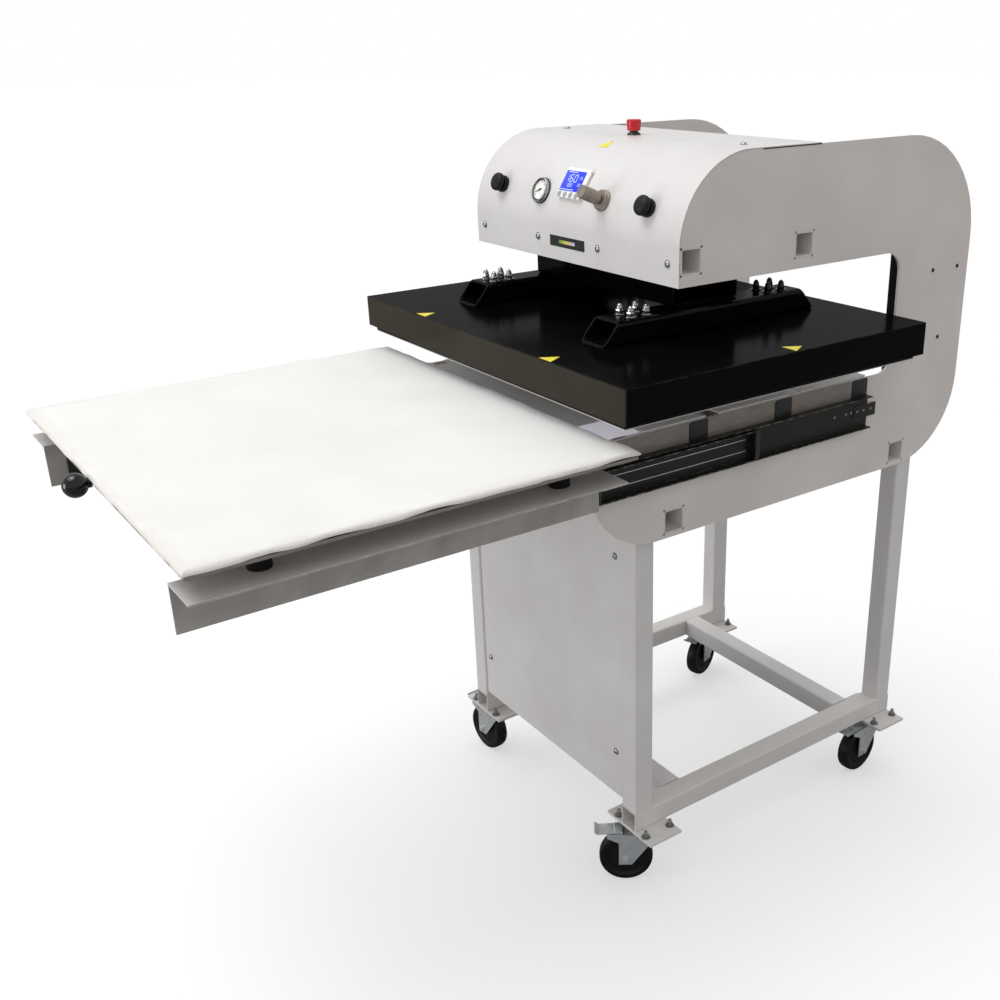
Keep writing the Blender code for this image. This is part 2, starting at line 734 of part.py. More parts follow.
def build_palm_buttons(frame):
    """Two start buttons, each in a collar on the curve of the cover."""
    collar_profile = [
        (PALM_BORE_RADIUS, -FITTING_SKIRT),
        (PALM_COLLAR_RADIUS, -FITTING_SKIRT),
        (PALM_COLLAR_RADIUS, PALM_COLLAR_HEIGHT),
        (PALM_BORE_RADIUS, PALM_COLLAR_HEIGHT),
    ]
    for side_name, side in SIDES.items():
        location, rotation = cover_seat(side * PALM_X, PANEL_ANGLE)
        collar = seated(turned(collar_profile, looped=True), location, rotation)
        name = f"palm_collar_{side_name}"
        add(name, collar, "black_plastic", frame, location, rotation)
        cap = mushroom(
            PALM_STEM_RADIUS, PALM_STEM_FOOT, PALM_CAP_FOOT, PALM_CAP_RADIUS, PALM_CAP_HEIGHT
        )
        name = f"palm_button_{side_name}"
        add(name, cap, "black_plastic", frame, location, rotation)


def build_gauge(frame):
    """Round pressure gauge with a raised bezel."""
    location, rotation = cover_seat(GAUGE_X, PANEL_ANGLE)
    dial = GAUGE_HEIGHT - GAUGE_RECESS
    body = turned([
        (0, -FITTING_SKIRT),
        (GAUGE_RADIUS, -FITTING_SKIRT),
        (GAUGE_RADIUS, GAUGE_HEIGHT - GAUGE_BEZEL / 3),
        (GAUGE_RADIUS - GAUGE_BEZEL / 3, GAUGE_HEIGHT),
        (GAUGE_RADIUS - GAUGE_BEZEL, GAUGE_HEIGHT),
        (GAUGE_RADIUS - GAUGE_BEZEL, dial),
        (0, dial),
    ])
    shape = seated(body, location, rotation)
    add("pressure_gauge", shape, "gauge_chrome", frame, location, rotation)


def build_regulator(frame):
    """Air pressure regulator: a fixed body, and the knob that turns on it."""
    location, rotation = cover_seat(REGULATOR_X, PANEL_ANGLE)
    body = turned([
        (0, -FITTING_SKIRT),
        (REGULATOR_RADIUS, -FITTING_SKIRT),
        (REGULATOR_RADIUS, REGULATOR_HEIGHT),
        (REGULATOR_NECK_RADIUS, REGULATOR_HEIGHT),
        (REGULATOR_NECK_RADIUS, REGULATOR_NECK_TOP),
        (0, REGULATOR_NECK_TOP),
    ])
    shape = seated(body, location, rotation)
    add("regulator_body", shape, "regulator_metal", frame, location, rotation)
    shoulder = REGULATOR_KNOB_RADIUS / 7
    knob = turned([
        (0, REGULATOR_KNOB_FOOT),
        (REGULATOR_KNOB_RADIUS, REGULATOR_KNOB_FOOT),
        (REGULATOR_KNOB_RADIUS, REGULATOR_KNOB_TOP - shoulder),
        (REGULATOR_KNOB_RADIUS - shoulder, REGULATOR_KNOB_TOP),
        (0, REGULATOR_KNOB_TOP),
    ])
    add("regulator_knob", knob, "regulator_metal", frame, location, rotation)


def build_controller(frame):
    """Temperature and time controller, a flat case on the curve of the cover."""
    location, rotation = cover_seat(0, CONTROLLER_ANGLE)
    half_x = CONTROLLER_WIDTH / 2
    half_y = CONTROLLER_LENGTH / 2
    corners = rectangle(-half_x, half_x, -half_y, half_y)
    outline = filleted([(u, v, CONTROLLER_CORNER) for u, v in corners])
    case = prism(outline, "Z", -2 * FITTING_SKIRT, CONTROLLER_HEIGHT)
    shape = seated(case, location, rotation)
    add("controller", shape, "white_plastic", frame, location, rotation)


def build_emergency_stop(frame):
    """Red stop button in its black base on top of the cover."""
    location = (ESTOP_X, ESTOP_Y, UPPER_ARM_TOP_Z + COVER_SURFACE + GAP)
    base = turned([
        (ESTOP_BORE_RADIUS, 0),
        (ESTOP_BASE_RADIUS, 0),
        (ESTOP_BASE_RADIUS, ESTOP_BASE_HEIGHT),
        (ESTOP_BORE_RADIUS, ESTOP_BASE_HEIGHT),
    ], looped=True)
    add("estop_base", base, "black_plastic", frame, location)
    head = mushroom(
        ESTOP_STEM_RADIUS, ESTOP_STEM_FOOT, ESTOP_HEAD_FOOT, ESTOP_HEAD_RADIUS, ESTOP_HEAD_TOP
    )
    add("estop_button", head, "red_plastic", frame, location)


# ================================================================ press head
def build_platen(head):
    """Heated platen: the heater plate, the insulation on it and the cover over both."""
    size = (2 * PLATEN_HALF_X, 2 * PLATEN_HALF_Y)
    limits = (PLATEN_BOTTOM_Z, PLATEN_TOP_Z)
    cover = open_box("Z", (0, 0), size, limits, PLATEN_SHEET, PLATEN_CORNER, PLATEN_EDGE)
    add("platen_cover", cover, "black_paint", head)
    heater_x = (-HEATER_HALF_X, HEATER_HALF_X)
    heater_y = (-HEATER_HALF_Y, HEATER_HALF_Y)
    heater = box(heater_x, heater_y, (HEATER_BOTTOM_Z, HEATER_TOP_Z), HEATER_BEVEL)
    add("heater_plate", heater, "heater_aluminium", head)
    board_x = (-INSULATION_HALF_X, INSULATION_HALF_X)
    board_y = (-INSULATION_HALF_Y, INSULATION_HALF_Y)
    board = box(board_x, board_y, (HEATER_TOP_Z + GAP, INSULATION_TOP_Z))
    add("insulation", board, "insulation_board", head)


def build_lift_arms(head):
    """Two rectangular tubes across the platen's top, with raked open ends."""
    height = ARM_TOP_Z - ARM_BOTTOM_Z
    centre_z = (ARM_TOP_Z + ARM_BOTTOM_Z) / 2
    for side_name, x in ARM_X.items():
        size = (ARM_WIDTH, height)
        limits = (ARM_FRONT_Y, ARM_BACK_Y)
        arm = tube("Y", (x, centre_z), size, limits, ARM_WALL, ARM_RADIUS, ARM_RAKE)
        add(f"lift_arm_{side_name}", arm, "black_paint", head)


def build_crosshead(head):
    """Hollow beam across the two arms, and the rod and piston that lift it."""
    bottom = ARM_TOP_Z + GAP
    centre = (CROSSHEAD_Y, (bottom + CROSSHEAD_TOP_Z) / 2)
    size = (2 * CROSSHEAD_HALF_Y, CROSSHEAD_TOP_Z - bottom)
    limits = (CROSSHEAD_X - CROSSHEAD_HALF_X, CROSSHEAD_X + CROSSHEAD_HALF_X)
    beam = tube("X", centre, size, limits, CROSSHEAD_WALL, CROSSHEAD_RADIUS)
    add("crosshead", beam, "black_paint", head)
    foot = CROSSHEAD_TOP_Z + GAP
    cylinder_foot = BRIDGE_BOTTOM_Z + BRIDGE_THICKNESS + GAP
    ceiling = cylinder_foot + CYLINDER_HEIGHT - CYLINDER_END
    top = ceiling - PISTON_TOP_CLEARANCE - foot
    shoulder = top - PISTON_THICKNESS
    rod = turned([
        (0, 0),
        (ROD_RADIUS, 0),
        (ROD_RADIUS, shoulder),
        (PISTON_RADIUS, shoulder),
        (PISTON_RADIUS, top),
        (0, top),
    ])
    add("cylinder_rod", rod, "bright_steel", head, (CROSSHEAD_X, CROSSHEAD_Y, foot))


# ================================================================ table
def channel(side, web_x, tip_x, half_z):
    """Outline in (x, z) of a slide's channel, from its web's face to its flange tips."""
    inward = math.copysign(SLIDE_SHEET, tip_x - web_x)
    low = SLIDE_Z - half_z
    high = SLIDE_Z + half_z
    points = [
        (web_x, low),
        (tip_x, low),
        (tip_x, low + SLIDE_SHEET),
        (web_x + inward, low + SLIDE_SHEET),
        (web_x + inward, high - SLIDE_SHEET),
        (tip_x, high - SLIDE_SHEET),
        (tip_x, high),
        (web_x, high),
    ]
    return [(side * x, z) for x, z in points]


def build_slides(frame, middles, table):
    """Three-member telescopic slide outside each plate."""
    for side_name, side in SIDES.items():
        outer = channel(side, SLIDE_OUTER_WEB_X, SLIDE_OUTER_TIP_X, SLIDE_OUTER_HALF_Z)
        middle = channel(side, SLIDE_MIDDLE_WEB_X, SLIDE_MIDDLE_TIP_X, SLIDE_MIDDLE_HALF_Z)
        inner = channel(side, SLIDE_INNER_WEB_X, SLIDE_INNER_TIP_X, SLIDE_INNER_HALF_Z)
        for name, outline, limits, parent in (
            ("slide_outer", outer, SLIDE_OUTER_Y, frame),
            ("slide_middle", middle, SLIDE_MIDDLE_Y, middles[side_name]),
            ("slide_inner", inner, SLIDE_INNER_Y, table),
        ):
            shape = prism(outline, "Y", *limits)
            add(f"{name}_{side_name}", shape, "slide_steel", parent)


def build_tray_rails(table):
    """Angle rail on each slide's inner member, which carries the table."""
    flange_under = RAIL_TOP_Z - RAIL_SHEET
    for side_name, side in SIDES.items():
        outline = [
            (RAIL_WEB_X, RAIL_BOTTOM_Z),
            (RAIL_WEB_X + RAIL_SHEET, RAIL_BOTTOM_Z),
            (RAIL_WEB_X + RAIL_SHEET, flange_under),
            (RAIL_FLANGE_X, flange_under),
            (RAIL_FLANGE_X, RAIL_TOP_Z),
            (RAIL_WEB_X, RAIL_TOP_Z),
        ]
        shape = prism([(side * x, z) for x, z in outline], "Y", *RAIL_Y)
        add(f"tray_rail_{side_name}", shape, "white_paint", table)


def build_table(table):
    """Table plate on four welded standoffs, and the silicone pad on it."""
    plate = box((-TABLE_HALF_X, TABLE_HALF_X), TABLE_Y, TABLE_Z, TABLE_BEVEL)
    foot = RAIL_TOP_Z + GAP
    standoffs = []
    for side in SIDES.values():
        for y in STANDOFF_Y:
            outline = circle(STANDOFF_RADIUS, centre=(side * STANDOFF_X, y))
            standoffs.append(prism(outline, "Z", foot, TABLE_Z[0] + TABLE_BEVEL))
    add("table_plate", combined(plate, standoffs), "heater_aluminium", table)
    width = 2 * (TABLE_HALF_X + PAD_OVERHANG_X)
    length = TABLE_Y[1] - TABLE_Y[0] + 2 * PAD_OVERHANG_Y
    centre_y = sum(TABLE_Y) / 2
    outline = [(x, y + centre_y) for x, y in rounded_rectangle(width, length, PAD_CORNER)]
    bottom = TABLE_Z[1] + GAP
    pad = prism(outline, "Z", bottom, bottom + PAD_THICKNESS)
    add("table_pad", pad, "silicone_pad", table)


def build_pull_knob(table):
    """Ball knob on a short stem at the middle of the table's front edge."""
    seat_y = TABLE_Y[0] - GAP
    centre = seat_y - KNOB_CENTRE_Y
    start = math.asin(KNOB_STEM_RADIUS / KNOB_RADIUS)
    profile = [
        (0, 0),
        (KNOB_NECK_RADIUS, 0),
        (KNOB_NECK_RADIUS, KNOB_NECK_LENGTH),
        (KNOB_STEM_RADIUS, KNOB_NECK_LENGTH),
    ]
    for step in range(KNOB_RINGS):
        angle = start + (math.pi - start) * step / KNOB_RINGS
        radius = KNOB_RADIUS * math.sin(angle)
        profile.append((radius, centre - KNOB_RADIUS * math.cos(angle)))
    profile.append((0, centre + KNOB_RADIUS))
    location = (0, seat_y, sum(TABLE_Z) / 2)
    rotation = (math.pi / 2, 0, 0)
    add("pull_knob", turned(profile), "black_plastic", table, location, rotation)


# ================================================================ stand
def build_legs(frame):
    """Four square legs, each with a spacer block welded on where it meets its plate."""
    block_z = (LOWER_TUBE_Z - TUBE / 2, LOWER_TUBE_Z + TUBE / 2)
    for end_name, y in (("front", LEG_FRONT_Y), ("rear", LEG_REAR_Y)):
        for side_name, side in SIDES.items():
            limits = (RAIL_HIGH_Z + GAP, LEG_TOP_Z)
            leg = tube("Z", (side * LEG_X, y), (TUBE, TUBE), limits)
            block_x = span(side, LEG_X + TUBE / 2 - 2 * BITE, PLATE_INNER_X - GAP)
            block_y = (y - TUBE / 4, y + TUBE / 4)
            shape = combined(leg, [box(block_x, block_y, block_z)])
            add(f"leg_{end_name}_{side_name}", shape, "white_paint", frame)


def caster_pad(side, y):
    """Welded pad under a side rail, with the caster's top plate on its underside."""
    x = side * LEG_X
    pad = box(
        (x - PAD_PLATE_HALF_X, x + PAD_PLATE_HALF_X),
        (y - PAD_PLATE_HALF_Y, y + PAD_PLATE_HALF_Y),
        (PAD_PLATE_BOTTOM_Z, RAIL_LOW_Z + BITE),
    )
    plate = box(
        (x - CASTER_PLATE_HALF_X, x + CASTER_PLATE_HALF_X),
        (y - CASTER_PLATE_HALF_Y, y + CASTER_PLATE_HALF_Y),
        (CASTER_PLATE_BOTTOM_Z, PAD_PLATE_BOTTOM_Z + BITE),
    )
    return [pad, plate]


def build_base_rails(frame):
    """Side rails with their caster pads, and the cross rail at the rear."""
    rail_z = RAIL_LOW_Z + TUBE / 2
    front = LEG_FRONT_Y - TUBE / 2
    back = LEG_REAR_Y + TUBE / 2
    for side_name, side in SIDES.items():
        rail = tube("Y", (side * LEG_X, rail_z), (TUBE, TUBE), (front, back))
        pads = []
        for y in CASTER_Y.values():
            pads += caster_pad(side, y)
        shape = combined(rail, pads)
        add(f"side_rail_{side_name}", shape, "white_paint", frame)
    reach = LEG_X - TUBE / 2 - GAP
    cross = tube("X", (REAR_CROSS_Y, rail_z), (TUBE, TUBE), (-reach, reach))
    add("rear_cross_rail", cross, "white_paint", frame)


def build_front_panel(frame):
    """Sheet panel between the front legs, with its edges bent back."""
    width = 2 * (LEG_X - TUBE / 2 - GAP)
    height = PANEL_Z[1] - PANEL_Z[0]
    centre = (0, sum(PANEL_Z) / 2)
    limits = (PANEL_FRONT_Y + PANEL_DEPTH, PANEL_FRONT_Y)
    shape = open_box(
        "Y", centre, (width, height), limits, PANEL_SHEET, PANEL_CORNER, PANEL_EDGE
    )
    add("front_panel", shape, "white_paint", frame)


# ================================================================ casters
def fork_shape():
    """Fork about its swivel axis, trailing along +X, with race, crown and axle."""
    cheek = [
        (CHEEK_LEAD, CHEEK_TOP_Z),
        (CHEEK_LEAD, CHEEK_LEAD_Z),
        (CHEEK_FOOT_LEAD, CHEEK_FOOT_Z),
        (CHEEK_BACK, CHEEK_FOOT_Z),
        (CHEEK_BACK, CHEEK_ELBOW_Z),
        (CHEEK_ARM, CHEEK_ARM_UNDER_Z),
        (CHEEK_ARM, CHEEK_TOP_Z),
    ]
    near = prism(cheek, "Y", CHEEK_INNER, CHEEK_INNER + CHEEK_SHEET)
    far = prism(cheek, "Y", -CHEEK_INNER - CHEEK_SHEET, -CHEEK_INNER)
    crown = box(CROWN_LENGTH, (-CROWN_HALF_WIDTH, CROWN_HALF_WIDTH), CROWN_Z)
    race = prism(circle(RACE_RADIUS), "Z", RACE_FOOT_Z, CASTER_PLATE_BOTTOM_Z - GAP)
    axle_outline = circle(AXLE_RADIUS, steps=16, centre=(TRAIL, WHEEL_RADIUS))
    axle = prism(axle_outline, "Y", -AXLE_HALF_LENGTH, AXLE_HALF_LENGTH)
    return combined(crown, [near, far, race, axle])


def wheel_shape():
    """Wheel about its own axle, with a rounded tread, dished sides and a hub."""
    side = [
        (AXLE_BORE_RADIUS, HUB_HALF_WIDTH),
        (HUB_RADIUS, HUB_HALF_WIDTH),
        (HUB_RADIUS, WHEEL_HALF_WIDTH - RIM_DEPTH),
        (RIM_RADIUS, WHEEL_HALF_WIDTH - RIM_DEPTH),
        (RIM_RADIUS, WHEEL_HALF_WIDTH),
        (WHEEL_RADIUS - TREAD_EDGE, WHEEL_HALF_WIDTH),
        (WHEEL_RADIUS, WHEEL_HALF_WIDTH - TREAD_EDGE),
    ]
    other = [(radius, -height) for radius, height in reversed(side)]
    return turned(side + other, WHEEL_STEPS, looped=True)


def pedal_shape():
    """Brake pedal about its pivot: a shoe over the tread and a tread plate behind."""
    half = PEDAL_SHEET / 2
    tip = PEDAL_TIP - PEDAL_PIVOT[0]
    outline = [
        (-PEDAL_SHOE, -2 * half),
        (PEDAL_SHOE - 2 * half, -2 * half),
        (PEDAL_SHOE, -half),
        (tip - PEDAL_LIP, -half),
        (tip, PEDAL_LIP - half),
        (tip - PEDAL_SHEET, PEDAL_LIP),
        (tip - PEDAL_LIP - half, half),
        (PEDAL_SHOE, half),
        (PEDAL_SHOE - 2 * half, 3 * half),
        (half - PEDAL_SHOE, 3 * half),
        (-PEDAL_SHOE, half),
    ]
    return prism(outline, "Y", -PEDAL_HALF_WIDTH, PEDAL_HALF_WIDTH)


def build_casters(frame):
    """Four swivel casters with brakes, each trailing its own way."""
    fork = new_mesh("caster_fork", fork_shape(), "zinc_steel")
    wheel = new_mesh("caster_wheel", wheel_shape(), "wheel_plastic")
    pedal = new_mesh("brake_pedal", pedal_shape(), "zinc_steel")
    for corner, heading in CASTER_HEADING.items():
        end_name, side_name = corner.split("_")
        location = (SIDES[side_name] * LEG_X, CASTER_Y[end_name], 0)
        turn = (0, 0, math.radians(heading))
        swivel = add_empty(f"swivel_{corner}", frame, location, turn)
        add_mesh(f"caster_fork_{corner}", fork, swivel)
        axle = (TRAIL, 0, WHEEL_RADIUS)
        add_mesh(f"caster_wheel_{corner}", wheel, swivel, axle, (math.pi / 2, 0, 0))
        pivot = (PEDAL_PIVOT[0], 0, PEDAL_PIVOT[1])
        add_mesh(f"brake_pedal_{corner}", pedal, swivel, pivot)


def main():
    for item in list(bpy.data.objects):
        bpy.data.objects.remove(item)
    frame = add_empty("press_centre", location=(0, PRESS_Y, 0))
    head = add_empty("press_head", frame)
    table = add_empty("table", frame)
    middles = {name: add_empty(f"slide_stage_{name}", frame) for name in SIDES}
    build_side_plates(frame)
    build_cross_tubes(frame)
    build_bed(frame)
    build_top_cover(frame)
    build_lift_mounting(frame)
    build_electrics(frame)
    build_palm_buttons(frame)
    build_gauge(frame)
    build_regulator(frame)
    build_controller(frame)
    build_emergency_stop(frame)
    build_platen(head)
    build_lift_arms(head)
    build_crosshead(head)
    build_slides(frame, middles, table)
    build_tray_rails(table)
    build_table(table)
    build_pull_knob(table)
    build_legs(frame)
    build_base_rails(frame)
    build_front_panel(frame)
    build_casters(frame)


main()
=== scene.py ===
"""Visual model of a large-format heat press with a pull-out lower table."""

import json
import math

import bmesh
import bpy
from mathutils import Matrix, Vector, noise


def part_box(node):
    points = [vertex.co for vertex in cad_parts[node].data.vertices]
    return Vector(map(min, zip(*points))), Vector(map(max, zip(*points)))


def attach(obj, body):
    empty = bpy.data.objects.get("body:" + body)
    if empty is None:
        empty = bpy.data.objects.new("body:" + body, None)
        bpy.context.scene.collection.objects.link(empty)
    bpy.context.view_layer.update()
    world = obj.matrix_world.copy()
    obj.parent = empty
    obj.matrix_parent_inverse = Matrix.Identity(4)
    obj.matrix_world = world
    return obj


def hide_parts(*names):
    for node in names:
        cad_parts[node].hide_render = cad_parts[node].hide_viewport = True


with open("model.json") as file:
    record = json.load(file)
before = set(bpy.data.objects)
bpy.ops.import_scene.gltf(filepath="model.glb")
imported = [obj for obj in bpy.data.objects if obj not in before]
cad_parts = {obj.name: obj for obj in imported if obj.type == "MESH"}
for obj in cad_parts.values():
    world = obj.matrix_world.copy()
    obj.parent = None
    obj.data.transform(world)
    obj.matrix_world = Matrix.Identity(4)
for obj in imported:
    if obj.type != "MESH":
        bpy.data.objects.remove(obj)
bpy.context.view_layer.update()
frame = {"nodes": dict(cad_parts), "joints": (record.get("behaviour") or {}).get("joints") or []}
NODES = frame["nodes"]
SIDES = {"left": -1, "right": 1}
CORNERS = ("front_left", "front_right", "rear_left", "rear_right")
JOINT_POINTS = {joint["name"]: Vector(joint["pos_m"]) for joint in frame["joints"] if "pos_m" in joint}

# ---------------------------------------------------------------- camera
CAMERA_PLACE = (2.0246, -1.3118, 1.8278)
CAMERA_AZIMUTH = math.radians(53.74)
CAMERA_ELEVATION = math.radians(22.41)
CAMERA_ROLL = math.radians(-0.718)
CAMERA_LENS = 41.43
CAMERA_SHIFT = (-0.1013, 0.0104)

# ---------------------------------------------------------------- studio
SKY_POWER = 1.32
SKY_SPREAD = math.radians(50)
SURROUND_LIGHT = 0.66
FLOOR_SEEN = 0.97
FLOOR_BOUNCE = 0.31
FLOOR_GLOW = 0.50

# ---------------------------------------------------------------- control panel, on the curve of the cover
CURVE_RADIUS = 0.1772
PANEL_ANGLE = math.radians(23)
CONTROLLER_ANGLE = math.radians(32.1)
PALM_X = {"left": -0.2635, "right": 0.2585}
GAUGE_X = -0.110
REGULATOR_X = 0.110
LATHE_STEPS = 64
SLIDE_SHEET = 0.0022
TUBE = 0.050
CASTER_BOLTS = (0.050, 0.035)
CASTER_PAD_TOP = 0.010  # above the zinc plate's underside
TUBE_CORNER = 0.005
TUBE_WALL = 0.0025
FRONT_RAIL_SETBACK = 0.0712  # behind the front legs
SHEET = 0.0018
SHEET_EASE = 0.0005
COVER_TURNS = 48
# Places of a slide's rivets, forward of its rear end; the last three are on its bracket.
RIVET_INSETS = (0.106, 0.069, 0.052, 0.034, 0.014, -0.010)
BRACKET = 0.0020  # thickness
PAD_RIM = 0.0065
CONTROLLER_DEPTH = 0.067
CONTROLLER_DROP = 0.0035
CONTROLLER_FACE = 0.0060
GLYPH = 0.00025
STOP_FOOT = 0.0046
STOP_TRAVEL_ROOM = 0.0046
WHEEL_HALF = 0.0180


# ================================================================ mesh code
def placed(point=(0, 0, 0), axis=(0, 0, 1), spin=0.0):
    """Place whose local +Z points along axis, turned about it by spin."""
    turn = Vector((0, 0, 1)).rotation_difference(Vector(axis))
    return Matrix.Translation(Vector(point)) @ turn.to_matrix().to_4x4() @ Matrix.Rotation(spin, 4, "Z")


def turn_into(mesh, profile, place=None, steps=LATHE_STEPS, wave=None):
    """Adds a solid of revolution about local Z. A profile point is (radius, height)."""
    place = place or Matrix()
    rings = []
    for radius, height in profile:
        count = steps if radius > 0 else 1
        ring = []
        for step in range(count):
            angle = math.tau * step / steps
            reach = radius + (wave(angle, radius, height) if wave else 0)
            point = Vector((reach * math.cos(angle), reach * math.sin(angle), height))
            ring.append(mesh.verts.new(place @ point))
        rings.append(ring)
    for low, high in zip(rings, rings[1:]):
        for step in range(steps):
            after = (step + 1) % steps
            corners = [low[step % len(low)], low[after % len(low)]]
            corners += [high[after % len(high)], high[step % len(high)]]
            unique = list(dict.fromkeys(corners))
            if len(unique) > 2:
                mesh.faces.new(unique)


def extrude_into(mesh, outline, low, high, place=None, bevel=0.0):
    """Adds a prism: a flat outline in local XY between two heights, with its rims bevelled."""
    place = place or Matrix()
    rings = [[mesh.verts.new(place @ Vector((x, y, z))) for x, y in outline] for z in (low, high)]
    count = len(outline)
    walls = []
    for step in range(count):
        after = (step + 1) % count
        walls.append(mesh.faces.new((rings[0][step], rings[0][after], rings[1][after], rings[1][step])))
    bottom = mesh.faces.new(list(reversed(rings[0])))
    top = mesh.faces.new(rings[1])
    if bevel:
        rims = list(top.edges) + list(bottom.edges)
        bmesh.ops.bevel(mesh, geom=rims, offset=bevel, segments=3, affect="EDGES", profile=0.5)


def rounded(width, depth, radius, steps=6):
    """Outline of a rectangle with round corners, centred on the origin."""
    points = []
    for turn, (sx, sy) in enumerate(((1, 1), (-1, 1), (-1, -1), (1, -1))):
        for step in range(steps + 1):
            angle = math.pi / 2 * (turn + step / steps)
            x = sx * (width / 2 - radius) + radius * math.cos(angle)
            y = sy * (depth / 2 - radius) + radius * math.sin(angle)
            points.append((x, y))
    return points


def polygon(radius, sides, spin=0.0):
    """Outline of a regular polygon."""
    angles = [spin + math.tau * step / sides for step in range(sides)]
    return [(radius * math.cos(angle), radius * math.sin(angle)) for angle in angles]


def finished_mesh(name, mesh, smooth_below=35):
    """Mesh data from mesh code, smooth except over sharp edges."""
    bmesh.ops.recalc_face_normals(mesh, faces=mesh.faces)
    data = bpy.data.meshes.new(name)
    mesh.to_mesh(data)
    mesh.free()
    data.shade_smooth()
    data.set_sharp_from_angle(angle=math.radians(smooth_below))
    return data


def new_object(name, data, finish, body, place=None):
    """Makes an object from finished mesh data that rides on a body."""
    if not data.materials:
        data.materials.append(FINISHES[finish])
    piece = bpy.data.objects.new(name, data)
    bpy.context.scene.collection.objects.link(piece)
    if place:
        piece.matrix_world = place
    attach(piece, body)
    return piece


def new_piece(name, mesh, finish, body, smooth_below=40):
    """Makes an object from mesh code that rides on a body."""
    return new_object(name, finished_mesh(name, mesh, smooth_below), finish, body)


def turned_piece(name, profile, place, finish, body, steps=LATHE_STEPS, wave=None):
    """Makes a piece that is one solid of revolution."""
    mesh = bmesh.new()
    turn_into(mesh, profile, place, steps, wave)
    return new_piece(name, mesh, finish, body)


def flat_piece(name, outline, heights, place, finish, body, bevel=0.0):
    """Makes a piece that is one prism between two heights."""
    mesh = bmesh.new()
    extrude_into(mesh, outline, *heights, place, bevel)
    return new_piece(name, mesh, finish, body)


def beside(x, y, z, side=1):
    """Place whose local +X runs along world +Y, local +Y up and local +Z out to one side."""
    return Matrix(((0, 0, side, x), (1, 0, 0, y), (0, 1, 0, z), (0, 0, 0, 1)))


def bed_tube_pitch():
    """Distance between the bed's four cross tubes."""
    low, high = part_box("bed_frame")
    return (high.y - low.y - TUBE) / 3


def middle(node):
    """Middle of a CAD node's box."""
    low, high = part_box(node)
    return (low + high) / 2


def cover_seat(x, angle, lift=0.0):
    """Place on the curved front of the cover: local +Z outward, local +Y up the slope."""
    low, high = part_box("top_cover")
    y = low.y + CURVE_RADIUS - (CURVE_RADIUS + lift) * math.cos(angle)
    z = high.z - CURVE_RADIUS + (CURVE_RADIUS + lift) * math.sin(angle)
    return Matrix.Translation((x, y, z)) @ Matrix.Rotation(math.pi / 2 - angle, 4, "X")


# ================================================================ materials
class Finish:
    """A procedural material: a Principled shader and the nodes that feed it."""

    def __init__(self, name, roughness, metallic=0.0, specular=0.5, coat=0.0, coat_roughness=0.1):
        self.material = bpy.data.materials.new(name)
        self.material.use_nodes = True
        self.tree = self.material.node_tree
        self.shader = self.tree.nodes["Principled BSDF"]
        self.shader.inputs["Roughness"].default_value = roughness
        self.shader.inputs["Metallic"].default_value = metallic
        self.shader.inputs["Specular IOR Level"].default_value = specular
        self.shader.inputs["Coat Weight"].default_value = coat
        self.shader.inputs["Coat Roughness"].default_value = coat_roughness
        self.places = self.tree.nodes.new("ShaderNodeTexCoord").outputs["Object"]

    def node(self, kind, inputs=None, **settings):
        """Adds a node with its settings and input values or links."""
        made = self.tree.nodes.new(kind)
        for key, value in settings.items():
            setattr(made, key, value)
        for key, value in (inputs or {}).items():
            if isinstance(value, bpy.types.NodeSocket):
                self.tree.links.new(value, made.inputs[key])
            else:
                made.inputs[key].default_value = value
        return made

    def stretched(self, scale):
        """Object coordinates scaled by axis."""
        return self.node("ShaderNodeMapping", {"Vector": self.places, "Scale": scale}).outputs["Vector"]

    def noise(self, scale, detail=3.0, vector=None, distortion=0.0):
        """Fractal noise from 0 to 1; scale is in cycles a metre."""
        inputs = {"Vector": vector or self.places, "Scale": scale, "Detail": detail, "Distortion": distortion}
        return self.node("ShaderNodeTexNoise", inputs).outputs["Fac"]

    def remap(self, value, low, high, to_low=0.0, to_high=1.0):
        """Linear ramp between two input values."""
        inputs = {"Value": value, "From Min": low, "From Max": high, "To Min": to_low, "To Max": to_high}
        return self.node("ShaderNodeMapRange", inputs).outputs["Result"]

    def mix(self, factor, first, second):
        """Blend of two colours by a factor."""
        return self.node("ShaderNodeMix", {0: factor, 6: first, 7: second}, data_type="RGBA").outputs[2]

    def math(self, operation, first, second=0.0):
        """One arithmetic step."""
        return self.node("ShaderNodeMath", {0: first, 1: second}, operation=operation).outputs[0]

    def axis(self, name):
        """One of the object coordinates, in metres."""
        return self.node("ShaderNodeSeparateXYZ", {"Vector": self.places}).outputs[name]

    def facing(self, name):
        """One component of the direction that a face looks in."""
        normal = self.node("ShaderNodeNewGeometry").outputs["Normal"]
        return self.node("ShaderNodeSeparateXYZ", {"Vector": normal}).outputs[name]

    def base(self):
        """What the colour is made of so far."""
        return self.shader.inputs["Base Color"].links[0].from_socket

    def colour(self, value):
        self.tree.links.new(value, self.shader.inputs["Base Color"])

    def roughness(self, value, low, high):
        """Lets the roughness follow a noise between two values."""
        self.tree.links.new(self.remap(value, 0.3, 0.7, low, high), self.shader.inputs["Roughness"])

    def glow(self, colour, strength):
        self.tree.links.new(colour, self.shader.inputs["Emission Color"])
        self.shader.inputs["Emission Strength"].default_value = strength

    def bump(self, height, distance, strength=1.0, after=None):
        """Adds a bump of a depth in metres, over an earlier one."""
        inputs = {"Height": height, "Distance": distance, "Strength": strength}
        if after:
            inputs["Normal"] = after
        normal = self.node("ShaderNodeBump", inputs).outputs["Normal"]
        self.tree.links.new(normal, self.shader.inputs["Normal"])
        return normal


